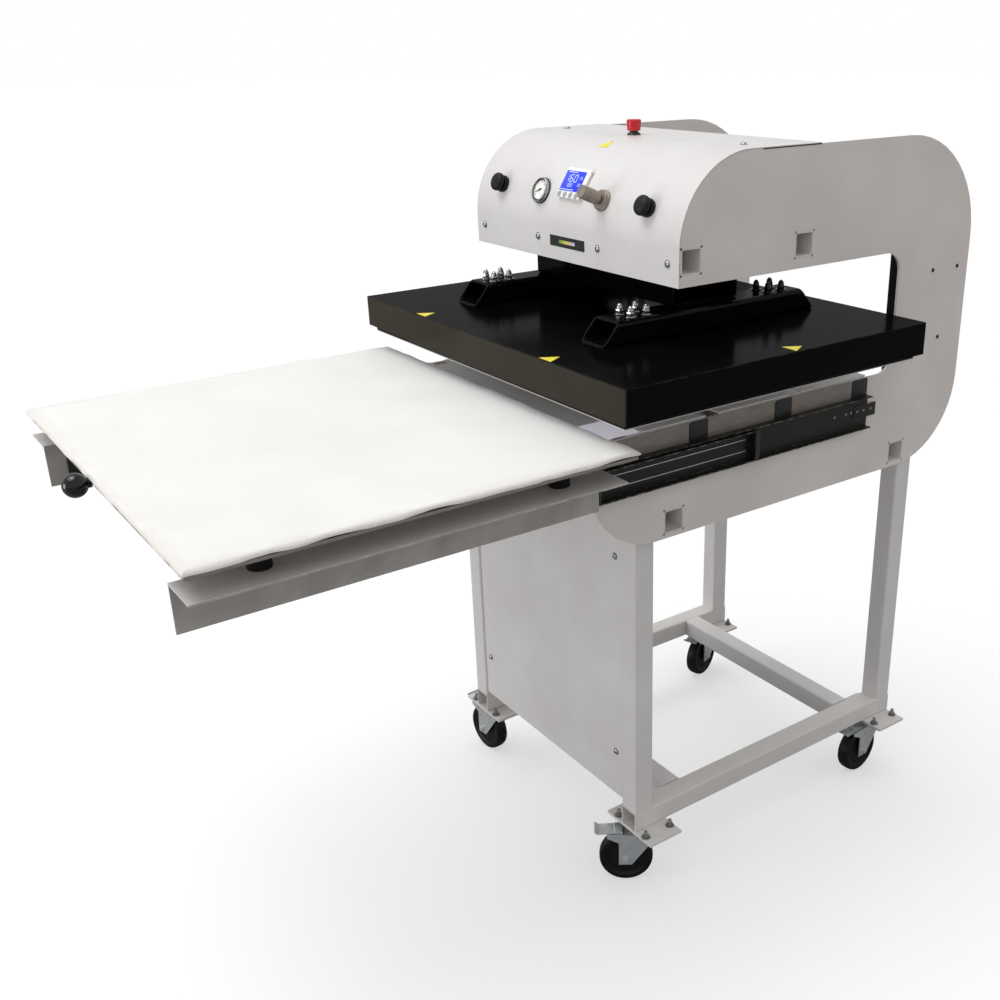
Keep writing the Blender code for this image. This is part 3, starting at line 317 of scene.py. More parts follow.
def shade(red, green, blue):
    """Linear colour from display values out of 255."""
    channels = []
    for value in (red, green, blue):
        channels.append(((value / 255 + 0.055) / 1.055) ** 2.4 if value > 10 else value / 3294)
    return (*channels, 1.0)


def powder_coat(name, light, dark, roughness):
    """Satin powder coat: orange peel, faint cloudy tone and small specks."""
    finish = Finish(name, roughness)
    clouds = finish.remap(finish.noise(5, 4), 0.35, 0.65)
    tone = finish.mix(clouds, dark, light)
    specks = finish.remap(finish.noise(420, 2), 0.70, 0.76)
    finish.colour(finish.mix(specks, tone, tuple(value * 0.86 for value in dark[:3]) + (1.0,)))
    finish.roughness(finish.noise(14, 5), roughness - 0.06, roughness + 0.06)
    finish.bump(finish.noise(650, 2), 0.00008, 0.35)
    return finish


def edge_wear(finish, clean, bare, width=0.0012, amount=0.5):
    """Blends towards a bare colour along sharp edges, in patches."""
    soft = finish.node("ShaderNodeBevel", {"Radius": width}, samples=4).outputs["Normal"]
    plain = finish.node("ShaderNodeNewGeometry").outputs["Normal"]
    dot = finish.node("ShaderNodeVectorMath", {0: soft, 1: plain}, operation="DOT_PRODUCT").outputs["Value"]
    edge = finish.remap(dot, 0.999, 0.90)
    patches = finish.remap(finish.noise(60, 4), 0.45, 0.62)
    return finish.mix(finish.math("MULTIPLY", finish.math("MULTIPLY", edge, patches), amount), clean, bare)


def worn_coat(name, light, dark, roughness):
    """White powder coat, a little greyer along its edges, where hands have rubbed it."""
    finish = powder_coat(name, light, dark, roughness)
    finish.colour(edge_wear(finish, finish.base(), shade(150, 146, 142), amount=0.45))
    return finish.material


def strip_steel():
    """Brown-grey rolled steel strip, streaked along its length."""
    finish = Finish("rolled_steel_strip", 0.42, metallic=0.35)
    streaks = finish.noise(60, 4, finish.stretched((1, 0.4, 4)))
    finish.colour(finish.mix(streaks, shade(112, 104, 97), shade(160, 152, 144)))
    finish.roughness(finish.noise(40, 4), 0.34, 0.52)
    finish.bump(streaks, 0.00006, 0.4)
    return finish.material


def rail_paint():
    """White coat of a side rail, with the zinc top plates of the casters under it."""
    finish = powder_coat("white_powder_coat_on_rail", shade(226, 223, 220), shade(218, 214, 211), 0.36)
    base = finish.base()
    pad_foot = min(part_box("side_rail_left")[0].z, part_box("side_rail_right")[0].z)
    plate = finish.remap(finish.axis("Z"), pad_foot + 0.0042, pad_foot + 0.0040)
    spangle = finish.mix(finish.noise(90, 3), shade(150, 153, 158), shade(188, 190, 193))
    finish.colour(finish.mix(plate, base, spangle))
    finish.tree.links.new(plate, finish.shader.inputs["Metallic"])
    return finish.material


def tray_paint():
    """Silver-grey coat of the table's two side rails, rubbed bright along the edges, with painted shade
    darkening the sideways-facing webs.
    """
    finish = powder_coat("silver_grey_coat", shade(214, 210, 208), shade(202, 198, 196), 0.34)
    base = finish.base()
    # Painted shade: faces looking along X (the webs) are mixed to a darker, mottled grey.
    web = finish.remap(finish.math("ABSOLUTE", finish.facing("X")), 0.5, 0.8)
    web_shade_mottle = finish.remap(finish.noise(16, 5, distortion=0.5), 0.35, 0.65)
    base = finish.mix(web, base, finish.mix(web_shade_mottle, shade(160, 156, 151), shade(178, 174, 169)))
    finish.colour(edge_wear(finish, base, shade(232, 231, 229), 0.0016, 0.8))
    return finish.material


def black_paint():
    """Satin black coat of the platen: faint heat haze and rubbed edges, with a painted reflection that makes
    the front faces browner.
    """
    finish = Finish("black_satin_coat", 0.27, specular=0.0, coat=0.16, coat_roughness=0.16)
    haze = finish.remap(finish.noise(3.2, 5, distortion=0.6), 0.35, 0.7)
    tone = finish.mix(haze, shade(4, 4, 6), shade(12, 11, 11))
    # Painted reflection: faces looking towards -Y are tinted brown-grey.
    front = finish.remap(finish.facing("Y"), -0.6, -0.9)
    tone = finish.mix(front, tone, finish.mix(haze, shade(50, 47, 40), shade(60, 57, 49)))
    dust = finish.remap(finish.noise(900, 2), 0.70, 0.78)
    tone = finish.mix(dust, tone, shade(24, 23, 23))
    finish.colour(edge_wear(finish, tone, shade(96, 92, 86), amount=0.55))
    finish.roughness(finish.noise(9, 6), 0.22, 0.34)
    finish.bump(finish.noise(560, 2), 0.00007, 0.35)
    return finish.material


def arm_paint():
    """Glossier black coat of the lift arms and the crosshead."""
    finish = Finish("black_gloss_coat", 0.20, specular=0.0, coat=0.24, coat_roughness=0.10)
    tone = finish.mix(finish.noise(12, 4), shade(4, 4, 6), shade(10, 10, 12))
    finish.colour(edge_wear(finish, tone, shade(88, 86, 84), amount=0.5))
    finish.roughness(finish.noise(20, 5), 0.18, 0.30)
    finish.bump(finish.noise(600, 2), 0.00006, 0.3)
    return finish.material


def blackened_steel():
    """Dark oiled steel of the slides: drawing lines along the stroke and bare edges."""
    finish = Finish("blackened_slide_steel", 0.34, metallic=0.75)
    lines = finish.noise(60, 3, finish.stretched((40, 0.6, 40)))
    tone = finish.mix(lines, shade(34, 36, 32), shade(64, 66, 60))
    finish.colour(edge_wear(finish, tone, shade(196, 196, 192), 0.0016, 0.9))
    finish.roughness(finish.noise(30, 4), 0.26, 0.44)
    finish.bump(lines, 0.00004, 0.4)
    return finish.material


def zinc_plate(name, cool, warm):
    """Zinc plate with a faint bluish and yellow cast."""
    finish = Finish(name, 0.30, metallic=0.55)
    cast = finish.remap(finish.noise(24, 3, distortion=0.4), 0.3, 0.7)
    tone = finish.mix(cast, cool, warm)
    finish.colour(edge_wear(finish, tone, shade(240, 240, 240), 0.0008, 0.6))
    finish.roughness(finish.noise(70, 3), 0.24, 0.36)
    finish.bump(finish.noise(500, 2), 0.00003, 0.3)
    return finish.material


def bright_metal(name, tone, light, wipe, low, high):
    """Polished or brushed bare metal: tone and wipe are the scales of its patches and of its fine marks."""
    finish = Finish(name, (low + high) / 2, metallic=1.0)
    finish.colour(finish.mix(finish.noise(tone, 3), *light))
    finish.roughness(finish.noise(wipe, 4), low, high)
    return finish.material


def milled_aluminium():
    """Aluminium plate with milling lines across it, coloured near-black round its sides down to a bare lower
    rim.
    """
    finish = Finish("milled_aluminium", 0.36, metallic=0.9)
    lines = finish.noise(70, 3, finish.stretched((0.5, 30, 30)))
    bare = finish.mix(lines, shade(196, 195, 193), shade(232, 231, 229))
    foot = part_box("heater_plate")[0].z
    # The sides above the lowest 2 mm are coloured near-black.
    dark_sides = finish.remap(finish.axis("Z"), foot + 0.0019, foot + 0.0022)
    finish.colour(finish.mix(dark_sides, bare, shade(22, 20, 19)))
    finish.roughness(lines, 0.30, 0.46)
    finish.bump(lines, 0.00005, 0.4)
    return finish.material


def table_alloy():
    """Brown-grey anodised table plate, dull along its sawn edge."""
    finish = Finish("anodised_table_plate", 0.42, metallic=0.6)
    lines = finish.noise(60, 3, finish.stretched((1, 1, 60)))
    finish.colour(finish.mix(lines, shade(140, 130, 124), shade(168, 159, 152)))
    finish.roughness(lines, 0.36, 0.52)
    finish.bump(lines, 0.00005, 0.4)
    return finish.material


def moulded_plastic(name, light, dark, roughness, grain=1.0, specular=0.5):
    """Moulded plastic with a fine spark-eroded grain and slight shine variation."""
    finish = Finish(name, roughness, specular=specular, coat_roughness=0.06)
    finish.colour(finish.mix(finish.noise(70, 3), dark, light))
    finish.roughness(finish.noise(160, 4), roughness * 0.8, roughness * 1.25)
    finish.bump(finish.noise(1500, 2), 0.00004 * grain, 0.4)
    return finish


def wheel_tread():
    """Black wheel, scuffed dusty on the tread."""
    finish = moulded_plastic("black_wheel_nylon", shade(14, 14, 15), shade(8, 8, 9), 0.42, specular=0.28)
    base = finish.base()
    scuffs = finish.remap(finish.noise(220, 5), 0.58, 0.74, 0, 0.4)
    finish.colour(finish.mix(scuffs, base, shade(72, 70, 68)))
    return finish.material


def lacquered_alloy():
    """Brown-grey metallic lacquer of the regulator."""
    finish = Finish("lacquered_regulator", 0.34, metallic=0.45, coat=0.25, coat_roughness=0.15)
    flakes = finish.noise(1800, 1)
    finish.colour(finish.mix(flakes, shade(122, 108, 99), shade(172, 159, 149)))
    finish.roughness(finish.noise(90, 4), 0.26, 0.42)
    finish.bump(finish.noise(420, 3), 0.00006, 0.3)
    return finish.material


def silicone_sponge():
    """White silicone sponge: fine open cells, faint handling marks, creamier sides, and a painted shadow
    greying its rear edge.
    """
    finish = Finish("white_silicone_sponge", 0.72, specular=0.28)
    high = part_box("table_pad")[1]
    marks = finish.remap(finish.noise(4.5, 5, distortion=0.4), 0.35, 0.7)
    top = finish.mix(marks, shade(229, 228, 225), shade(234, 234, 232))
    side = finish.mix(finish.noise(240, 3), shade(206, 200, 194), shade(232, 229, 225))
    rim = finish.remap(finish.axis("Z"), high.z - 0.0010, high.z - 0.0045)
    tone = finish.mix(rim, top, side)
    # Painted shadow: the rear 75 mm of the pad greys towards its rear edge, and moves with the table.
    painted_platen_shadow = finish.remap(finish.axis("Y"), high.y - 0.075, high.y - 0.002, 0, 0.55)
    finish.colour(finish.mix(painted_platen_shadow, tone, shade(214, 213, 214)))
    cells = finish.node("ShaderNodeTexVoronoi", {"Vector": finish.places, "Scale": 700}).outputs["Distance"]
    first = finish.bump(cells, 0.00012, 0.3)
    finish.bump(finish.noise(18, 3), 0.0006, 0.25, after=first)
    finish.shader.inputs["Subsurface Weight"].default_value = 0.05
    finish.shader.inputs["Subsurface Radius"].default_value = (0.004, 0.004, 0.0035)
    return finish.material


def display_glass():
    """Blue backlit display, a little brighter in patches."""
    finish = Finish("blue_display", 0.16, coat=0.4, coat_roughness=0.05)
    glow = finish.remap(finish.noise(26, 2), 0.3, 0.7)
    blue = finish.mix(glow, shade(6, 24, 206), shade(20, 52, 230))
    finish.colour(blue)
    finish.glow(blue, 0.42)
    return finish.material


def printed(name, light, dark, roughness=0.4, glow=0.0):
    """Printed or inked surface with a faint screen-print grain."""
    finish = Finish(name, roughness)
    ink = finish.mix(finish.noise(900, 2), dark, light)
    finish.colour(ink)
    finish.roughness(finish.noise(200, 3), roughness * 0.85, roughness * 1.15)
    if glow:
        finish.glow(ink, glow)
    return finish.material


def colour_bar():
    """Printed bar that runs from green through yellow to pale violet."""
    finish = Finish("nameplate_colour_bar", 0.3)
    along = finish.axis("X")
    first = finish.mix(finish.remap(along, -0.030, -0.005), shade(60, 150, 60), shade(214, 206, 70))
    finish.colour(finish.mix(finish.remap(along, -0.005, 0.026), first, shade(196, 186, 222)))
    return finish.material


def mineral_board():
    """Pressed mineral fibre board over the heater."""
    finish = Finish("mineral_fibre_board", 0.85)
    fibres = finish.noise(180, 5, finish.stretched((1, 3, 6)))
    finish.colour(finish.mix(fibres, shade(150, 138, 112), shade(206, 196, 170)))
    finish.bump(fibres, 0.0003, 0.5)
    return finish.material


FINISHES = {
    "white_paint": worn_coat("white_powder_coat", shade(228, 226, 225), shade(220, 217, 216), 0.34),
    # Painted light: a warmer copy of the white coat for the side plates, tinted as if warm light falls on
    # them.
    "plate_paint_warm_lit": worn_coat("white_powder_coat_warm_lit", shade(228, 222, 218), shade(219, 212, 207), 0.35),
    # Painted shade: a slightly darker copy of the white coat for the cover, toning down its lit top.
    "cover_paint_shaded": worn_coat("white_powder_coat_shaded_copy", shade(221, 219, 218), shade(213, 210, 209), 0.32),
    "strip_steel": strip_steel(),
    "rail_paint": rail_paint(),
    "tray_paint": tray_paint(),
    "black_paint": black_paint(),
    "arm_paint": arm_paint(),
    "slide_steel": blackened_steel(),
    "zinc": zinc_plate("bright_zinc_plate", shade(196, 204, 212), shade(216, 217, 214)),
    "chrome": bright_metal(
        "polished_chrome", 80, (shade(160, 161, 164), shade(196, 196, 196)), 300, 0.05, 0.16),
    "steel": bright_metal(
        "brushed_case_steel", 60, (shade(150, 151, 154), shade(186, 186, 188)), 260, 0.14, 0.28),
    "aluminium": milled_aluminium(),
    "table_alloy": table_alloy(),
    "board": mineral_board(),
    "sponge": silicone_sponge(),
    "wheel": wheel_tread(),
    "lacquer": lacquered_alloy(),
    "display": display_glass(),
    "black_plastic": moulded_plastic("black_moulding", shade(28, 28, 30), shade(18, 18, 20), 0.36).material,
    "black_gloss": moulded_plastic("black_phenolic", shade(6, 6, 7), shade(3, 3, 4), 0.07, 0.2).material,
    "rubber": moulded_plastic("black_rubber", shade(17, 17, 19), shade(10, 10, 12), 0.55, 2.0, 0.3).material,
    "dull_zinc": zinc_plate("dull_zinc_plate", shade(118, 121, 124), shade(146, 146, 144)),
    "red_plastic": moulded_plastic("red_moulding", shade(206, 26, 38), shade(184, 16, 30), 0.28).material,
    "white_plastic": moulded_plastic(
        "white_moulding", shade(243, 242, 240), shade(236, 234, 231), 0.38).material,
    "grey_key": moulded_plastic("grey_key", shade(172, 170, 170), shade(148, 147, 148), 0.45).material,
    "tan_edge": printed("tan_edge", shade(196, 180, 156), shade(170, 156, 134)),
    "dial": printed("dial_face", shade(244, 244, 242), shade(234, 233, 230)),
    "ink": printed("black_ink", shade(34, 34, 36), shade(22, 22, 24)),
    "yellow": printed("yellow_sticker", shade(240, 226, 60), shade(226, 208, 44)),
    "glyph": printed("display_segment", shade(196, 214, 255), shade(170, 196, 255), glow=0.55),
    "plate_black": printed("nameplate_black", shade(30, 30, 32), shade(20, 20, 22), 0.3),
    "colour_bar": colour_bar(),
    # Glowing pale finish for the painted light patch on the bed.
    "glowing_light_patch": printed("glowing_light_patch", shade(222, 219, 228), shade(212, 208, 219), 0.35, glow=0.40),
}


# ================================================================ carried-over CAD nodes
def dress_frame():
    """Gives every carried-over CAD node its finish."""
    by_start = {
        "side_plate": "plate_paint_warm_lit",
        "side_rail": "rail_paint",
        "tray_rail": "tray_paint",
        "platen_cover": "black_paint",
        "lift_arm": "arm_paint",
        "crosshead": "arm_paint",
        "head_bridge": "black_paint",
        "heater_plate": "aluminium",
        "insulation": "board",
        "table_plate": "table_alloy",
        "slide": "slide_steel",
        "air_cylinder": "zinc",
        "cylinder_rod": "chrome",
        "caster_fork": "zinc",
        "brake_pedal": "zinc",
        "cable_duct": "black_plastic",
    }
    for name, node in NODES.items():
        finish = next((by_start[start] for start in by_start if name.startswith(start)), "white_paint")
        for slot in node.material_slots:
            slot.material = FINISHES[finish]


# ================================================================ fasteners
def acorn_nut_mesh(across=0.0145):
    """Flat and spring washers, chamfered hexagon and tall dome of a cap nut, standing on z = 0."""
    mesh = bmesh.new()
    washer = across * 0.78
    turn_into(mesh, [(0, 0), (washer, 0), (washer * 1.02, 0.0007), (washer, 0.0016), (0, 0.0016)])
    ring = across * 0.60
    turn_into(mesh, [(0, 0.0014), (ring, 0.0014), (ring, 0.0036), (0, 0.0036)])
    extrude_into(mesh, polygon(across / math.sqrt(3), 6), 0.0034, 0.0114, bevel=0.0007)
    crown, shoulder, rise = across * 0.45, 0.0125, 0.0098
    dome = [(0, 0.0108), (crown, 0.0108)]
    for step in range(10):
        angle = math.pi / 2 * step / 10
        dome.append((crown * math.cos(angle), shoulder + rise * math.sin(angle)))
    turn_into(mesh, dome + [(0, shoulder + rise)])
    return finished_mesh("acorn_nut", mesh)


def stud_nut_mesh(across=0.013):
    """Nut and washer with the end of a stud through it, standing on z = 0."""
    mesh = bmesh.new()
    turn_into(mesh, [(0, 0), (across * 0.8, 0), (across * 0.8, 0.0015), (0, 0.0015)], steps=36)
    extrude_into(mesh, polygon(across / math.sqrt(3), 6), 0.0013, 0.0080, bevel=0.0007)
    stud = [(0, 0.007)]
    for number in range(10):
        height = 0.0080 + 0.0009 * number
        stud += [(0.0037, height), (0.0041, height + 0.00045)]
    turn_into(mesh, stud + [(0.0030, 0.0175), (0, 0.0175)], steps=24)
    return finished_mesh("stud_nut", mesh)


def button_screw_mesh(radius=0.0065):
    """Domed screw head with a hexagon socket, standing on z = 0."""
    mesh = bmesh.new()
    height = radius * 0.62
    profile = [(0, 0), (radius * 1.25, 0), (radius * 1.25, 0.0009), (radius, 0.0010)]
    for step in range(1, 7):
        angle = math.radians(60) * step / 6
        profile.append((radius * math.cos(angle), 0.0010 + height * math.sin(angle)))
    turn_into(
        mesh, profile + [(radius * 0.36, profile[-1][1]), (radius * 0.33, 0.0016), (0, 0.0014)], steps=36)
    return finished_mesh("button_screw", mesh)


def hex_bolt_mesh(across=0.013):
    """Hexagon bolt head on a washer, standing on z = 0."""
    mesh = bmesh.new()
    turn_into(mesh, [(0, 0), (across * 0.8, 0), (across * 0.8, 0.0014), (0, 0.0014)], steps=36)
    extrude_into(mesh, polygon(across / math.sqrt(3), 6), 0.0012, 0.0068, bevel=0.0007)
    return finished_mesh("hex_bolt", mesh)


def add_arm_nuts():
    """Two groups of four cap nuts through each lift arm, bright in front and black behind."""
    data = {"front": acorn_nut_mesh(), "rear": acorn_nut_mesh()}
    finish = {"front": "chrome", "rear": "black_gloss"}
    pitch = (0.036, 0.040)
    front_y = {"left": -0.177, "right": -0.160}
    for side_name in SIDES:
        arm = f"lift_arm_{side_name}"
        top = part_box(arm)[1].z
        platen_y = middle("platen_cover").y
        for row_name, row_y in (("front", front_y[side_name]), ("rear", 0.216)):
            for number in range(4):
                x = middle(arm).x + pitch[0] * (number % 2 - 0.5)
                y = platen_y + row_y + pitch[1] * (number // 2 - 0.5)
                place = placed((x, y, top), spin=0.3 + number)
                name = f"arm_nut_{side_name}_{row_name}_{number}"
                new_object(name, data[row_name], finish[row_name], "head", place)


def add_frame_screws():
    """Screws that hold the cover, the front panel and what is behind the side plates."""
    data = button_screw_mesh()
    cover_low, cover_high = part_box("top_cover")
    panel_low, panel_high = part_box("front_panel")
    plate_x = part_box("side_plate_right")[1].x
    places = []
    for x in (-0.332, -0.110, 0.108, 0.332):
        places.append(("cover_front", (x, cover_low.y, cover_low.z + 0.042), (0, -1, 0)))
    for x in (-0.300, 0.300):
        places.append(("cover_top", (x, cover_high.y - 0.150, cover_high.z), (0, 0, 1)))
    for x in (-0.270, 0.270):
        for z in (panel_low.z + 0.116, panel_high.z - 0.232):
            places.append(("panel", (x, panel_low.y, z), (0, -1, 0)))
    for number, (kind, point, axis) in enumerate(places):
        place = placed(point, axis, 0.4 * number)
        new_object(f"screw_{kind}_{number:02d}", data, "chrome", "frame", place)
    small = button_screw_mesh(0.0036)
    for side_name, side in SIDES.items():
        for number, (y, z) in enumerate(((0.8455, 1.3285), (0.9315, 1.3285), (0.8855, 1.169))):
            place = placed((side * plate_x, y, z), (side, 0, 0))
            name = f"screw_plate_{side_name}_{number}"
            new_object(name, small, "black_plastic", "frame", place)


def add_tube_shade_plugs():
    """Black plugs, in the black plastic finish, in the open ends of the bed's cross tubes: painted shade
    standing in for the dark insides of the tubes.
    """
    low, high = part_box("bed_frame")
    pitch = bed_tube_pitch()
    for side_name, side in SIDES.items():
        for number in range(4):
            point = (side * (high.x - 0.0012), low.y + TUBE / 2 + pitch * number, low.z + TUBE / 2)
            mesh = bmesh.new()
            place = placed(point, (side, 0, 0))
            extrude_into(mesh, rounded(TUBE - 0.0004, TUBE - 0.0004, 0.005), 0.0014, 0.0028, place, 0.0006)
            extrude_into(mesh, rounded(TUBE - 0.0056, TUBE - 0.0056, 0.004), -0.006, 0.0015, place)
            name = f"bed_tube_shade_plug_{side_name}_{number}"
            new_piece(name, mesh, "black_plastic", "frame")


def add_front_cross_rail():
    """Square tube between the side rails, a little behind the front legs."""
    low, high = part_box("rear_cross_rail")
    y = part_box("leg_front_right")[1].y + FRONT_RAIL_SETBACK + TUBE / 2
    place = placed((0, y, (low.z + high.z) / 2), (1, 0, 0))
    half = (high.x - low.x) / 2
    outer = rounded(TUBE, TUBE, TUBE_CORNER)
    inner = rounded(TUBE - 2 * TUBE_WALL, TUBE - 2 * TUBE_WALL, TUBE_CORNER - TUBE_WALL)
    mesh = bmesh.new()
    loops = []
    for outline, end in ((outer, -half), (outer, half), (inner, half), (inner, -half)):
        loops.append([mesh.verts.new(place @ Vector((x, y, end))) for x, y in outline])
    for loop, after in zip(loops, loops[1:] + loops[:1]):
        for step in range(len(loop)):
            other = (step + 1) % len(loop)
            mesh.faces.new((loop[step], loop[other], after[other], after[step]))
    new_piece("front_cross_rail", mesh, "white_paint", "frame")


def add_bed_strips():
    """Steel strips along the bed's sides, between its tubes and over the slides."""
    low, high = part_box("bed_frame")
    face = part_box("side_plate_right")[1].x
    pitch = bed_tube_pitch()
    length = pitch - TUBE - 0.0006
    for side_name, side in SIDES.items():
        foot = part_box(f"slide_outer_{side_name}")[1].z + 0.0004
        tall = high.z - 0.0036 - foot
        outline = rounded(length, tall, 0.0008, 2)
        for number in range(3):
            start = low.y + TUBE + pitch * number + 0.0003
            place = beside(side * face, start + length / 2, foot + tall / 2, side)
            name = f"bed_strip_{side_name}_{number}"
            flat_piece(name, outline, (-0.0003, 0.0010), place, "strip_steel", "frame", 0.0003)


def add_glowing_light_patch():
    """Pale glowing patch on the bed sheet's right front corner: a painted pool of light."""
    bed_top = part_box("bed_frame")[1].z
    plate_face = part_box("side_plate_right")[0].x
    low, high = Vector((0.258, -0.078)), Vector((plate_face - 0.0012, 0.006))
    place = Matrix.Translation(((low.x + high.x) / 2, (low.y + high.y) / 2, bed_top))
    outline = rounded(high.x - low.x, high.y - low.y, 0.002, 3)
    flat_piece(
        "bed_glowing_light_patch", outline, (0.0001, 0.0006), place, "glowing_light_patch", "frame", 0.0001)


# ================================================================ cover
def add_cover_sheet():
    """Rolled sheet cover: a plain front, a quarter turn and a flat top, with eased edges."""
    low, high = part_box("top_cover")

    def path(inset):
        reach = CURVE_RADIUS - inset
        points = [(low.y + inset, low.z), (low.y + inset, high.z - CURVE_RADIUS)]
        for step in range(1, COVER_TURNS + 1):
            angle = math.pi / 2 * step / COVER_TURNS
            y = low.y + CURVE_RADIUS - reach * math.cos(angle)
            points.append((y, high.z - CURVE_RADIUS + reach * math.sin(angle)))
        return points + [(high.y, high.z - inset)]

    left = [(low.x + SHEET_EASE, 0), (low.x, SHEET_EASE), (low.x, SHEET)]
    right = [(high.x, SHEET), (high.x, SHEET_EASE), (high.x - SHEET_EASE, 0)]
    mesh = bmesh.new()
    rows = []
    for x, inset in left + right:
        rows.append([mesh.verts.new((x, y, z)) for y, z in path(inset)])
    for row, after in zip(rows, rows[1:] + rows[:1]):
        for step in range(len(row) - 1):
            mesh.faces.new((row[step], row[step + 1], after[step + 1], after[step]))
    mesh.faces.new([row[0] for row in rows])
    mesh.faces.new([row[-1] for row in reversed(rows)])
    piece = new_piece("cover_sheet", mesh, "cover_paint_shaded", "frame")
    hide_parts("top_cover")
    # Thin black strips along the seams where the cover's top meets the side plates.
    start = low.y + CURVE_RADIUS + 0.030
    outline = rounded(0.0022, high.y - start, 0.0006, 2)
    for side_name, side in SIDES.items():
        place = Matrix.Translation((side * (high.x - 0.0006), (start + high.y) / 2, high.z - SHEET - 0.0011))
        name = f"cover_seam_strip_{side_name}"
        flat_piece(name, outline, (-0.0011, 0.0010), place, "rubber", "frame", 0.0003)


# ================================================================ slides
def add_slide_fittings():
    """Rivets and a bracket at each slide's rear end, and an end cap and two ridges on its middle member."""
    head = bmesh.new()
    profile = [(0, 0), (0.0034, 0), (0.0032, 0.0005), (0.0022, 0.0007), (0.0018, 0.0004), (0, 0.0004)]
    turn_into(head, profile, steps=24)
    rivet = finished_mesh("slide_rivet", head)
    for side_name, side in SIDES.items():
        low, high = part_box(f"slide_outer_{side_name}")
        web = (min(abs(low.x), abs(high.x)) + SLIDE_SHEET) * side
        level = (low.z + high.z) / 2 + 0.004
        for number, inset in enumerate(RIVET_INSETS):
            lift = 0 if number < 3 else BRACKET
            place = placed((web + side * lift, high.y - inset, level), (side, 0, 0))
            name = f"slide_rivet_{side_name}_{number}"
            new_object(name, rivet, "dull_zinc", "frame", place)
        place = beside(web, high.y - 0.009, level - 0.002)
        faces = (-0.0004, BRACKET) if side > 0 else (-BRACKET, 0.0004)
        outline = rounded(0.070, 0.030, 0.0015, 2)
        flat_piece(
            f"slide_bracket_{side_name}", outline, faces, place, "slide_steel", "frame", 0.0003)
        add_middle_member_fittings(side_name, side)


def add_middle_member_fittings(side_name, side):
    """Plastic end cap with its screw, and two raised ridges, on the middle member of one slide."""
    body = f"stage_{side_name}"
    low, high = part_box(f"slide_middle_{side_name}")
    centre = (low + high) / 2
    across, tall = high.x - low.x, high.z - low.z
    length, corner = 0.0125, 0.0090
    outline = [(0, -tall / 2), (0, tall / 2)]
    for end in (1, -1):
        for step in range(7):
            angle = math.pi / 2 * (step / 6 if end < 0 else 1 - step / 6)
            x = length - corner + corner * math.cos(angle)
            outline.append((x, end * (tall / 2 - corner + corner * math.sin(angle))))
    mesh = bmesh.new()
    extrude_into(mesh, outline, -across / 2, across / 2, beside(centre.x, high.y + 0.0003, centre.z), 0.0012)
    screw = placed((centre.x + side * across / 2, high.y + 0.0065, centre.z - tall * 0.36), (side, 0, 0))
    turn_into(mesh, [(0, -0.001), (0.0026, -0.001), (0.0022, 0.0004), (0, 0.0006)], screw, 24)
    new_piece(f"slide_end_cap_{side_name}", mesh, "black_plastic", body)
    web = min(abs(low.x), abs(high.x)) + SLIDE_SHEET
    outline = rounded(0.0016, high.y - low.y - 0.024, 0.0007, 3)
    for level_name, level in (("upper", 0.0125), ("lower", -0.0125)):
        place = Matrix.Translation((side * web, centre.y, centre.z + level))
        name = f"slide_ridge_{level_name}_{side_name}"
        flat_piece(name, outline, (-0.0008, 0.0008), place, "zinc", body, 0.0003)


# ================================================================ lower table
def add_table_pad():
    """Silicone sponge pad: soft rounded rim, and wavy where it hangs over its plate."""
    low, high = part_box("table_pad")
    size = high - low
    mesh = bmesh.new()

    def stations(length, count):
        inner = [PAD_RIM + (length - 2 * PAD_RIM) * step / count for step in range(count + 1)]
        ends = [0, 0.0008, PAD_RIM * 0.35, PAD_RIM * 0.65]
        return ends + inner + [length - end for end in reversed(ends)]

    def ripple(x, y, seed, scale=11):
        return noise.noise(Vector((x * scale, y * scale, seed)))

    def skin_point(x, y, upper):
        """A point of the upper or lower skin, given its place inside the pad's outline."""
        edge = min(x, y, size.x - x, size.y - y)
        fall = math.sqrt(max(0.0, 1 - (1 - min(edge, PAD_RIM) / PAD_RIM) ** 2))
        near = max(0.0, 1 - edge / 0.035) ** 1.5
        curl = 0.0062 * max(0.0, ripple(x, y, 1) + 0.08) + 0.0016 * max(0.0, ripple(x, y, 7, 30))
        thick = size.z - 0.0005
        z = thick * (0.36 + 0.64 * fall if upper else 0.36 * (1 - fall)) + curl * near
        if upper:
            z += 0.0004 * (ripple(x, y, 2, 5) - 0.6) - 0.0034 * near
            z = min(z, size.z - 0.0003)
        point = Vector((x, y, z))
        if edge < 0.001:
            out = 0.0008 + 0.0028 * ripple(x, y, 3) + 0.0012 * ripple(x, y, 5, 30)
            for axis in (0, 1):
                if point[axis] < 0.001:
                    point[axis] -= out
                if point[axis] > size[axis] - 0.001:
                    point[axis] += out
        return low + point

    xs, ys = stations(size.x, 190), stations(size.y, 156)
    skins = []
    for upper in (True, False):
        grid = {}
        for i, x in enumerate(xs):
            for j, y in enumerate(ys):
                on_rim = i in (0, len(xs) - 1) or j in (0, len(ys) - 1)
                shared = on_rim and not upper
                grid[i, j] = skins[0][i, j] if shared else mesh.verts.new(skin_point(x, y, upper))
        skins.append(grid)
        for i in range(len(xs) - 1):
            for j in range(len(ys) - 1):
                mesh.faces.new((grid[i, j], grid[i + 1, j], grid[i + 1, j + 1], grid[i, j + 1]))
    pad = new_piece("table_pad_skin", mesh, "sponge", "table", 80)
    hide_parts("table_pad")


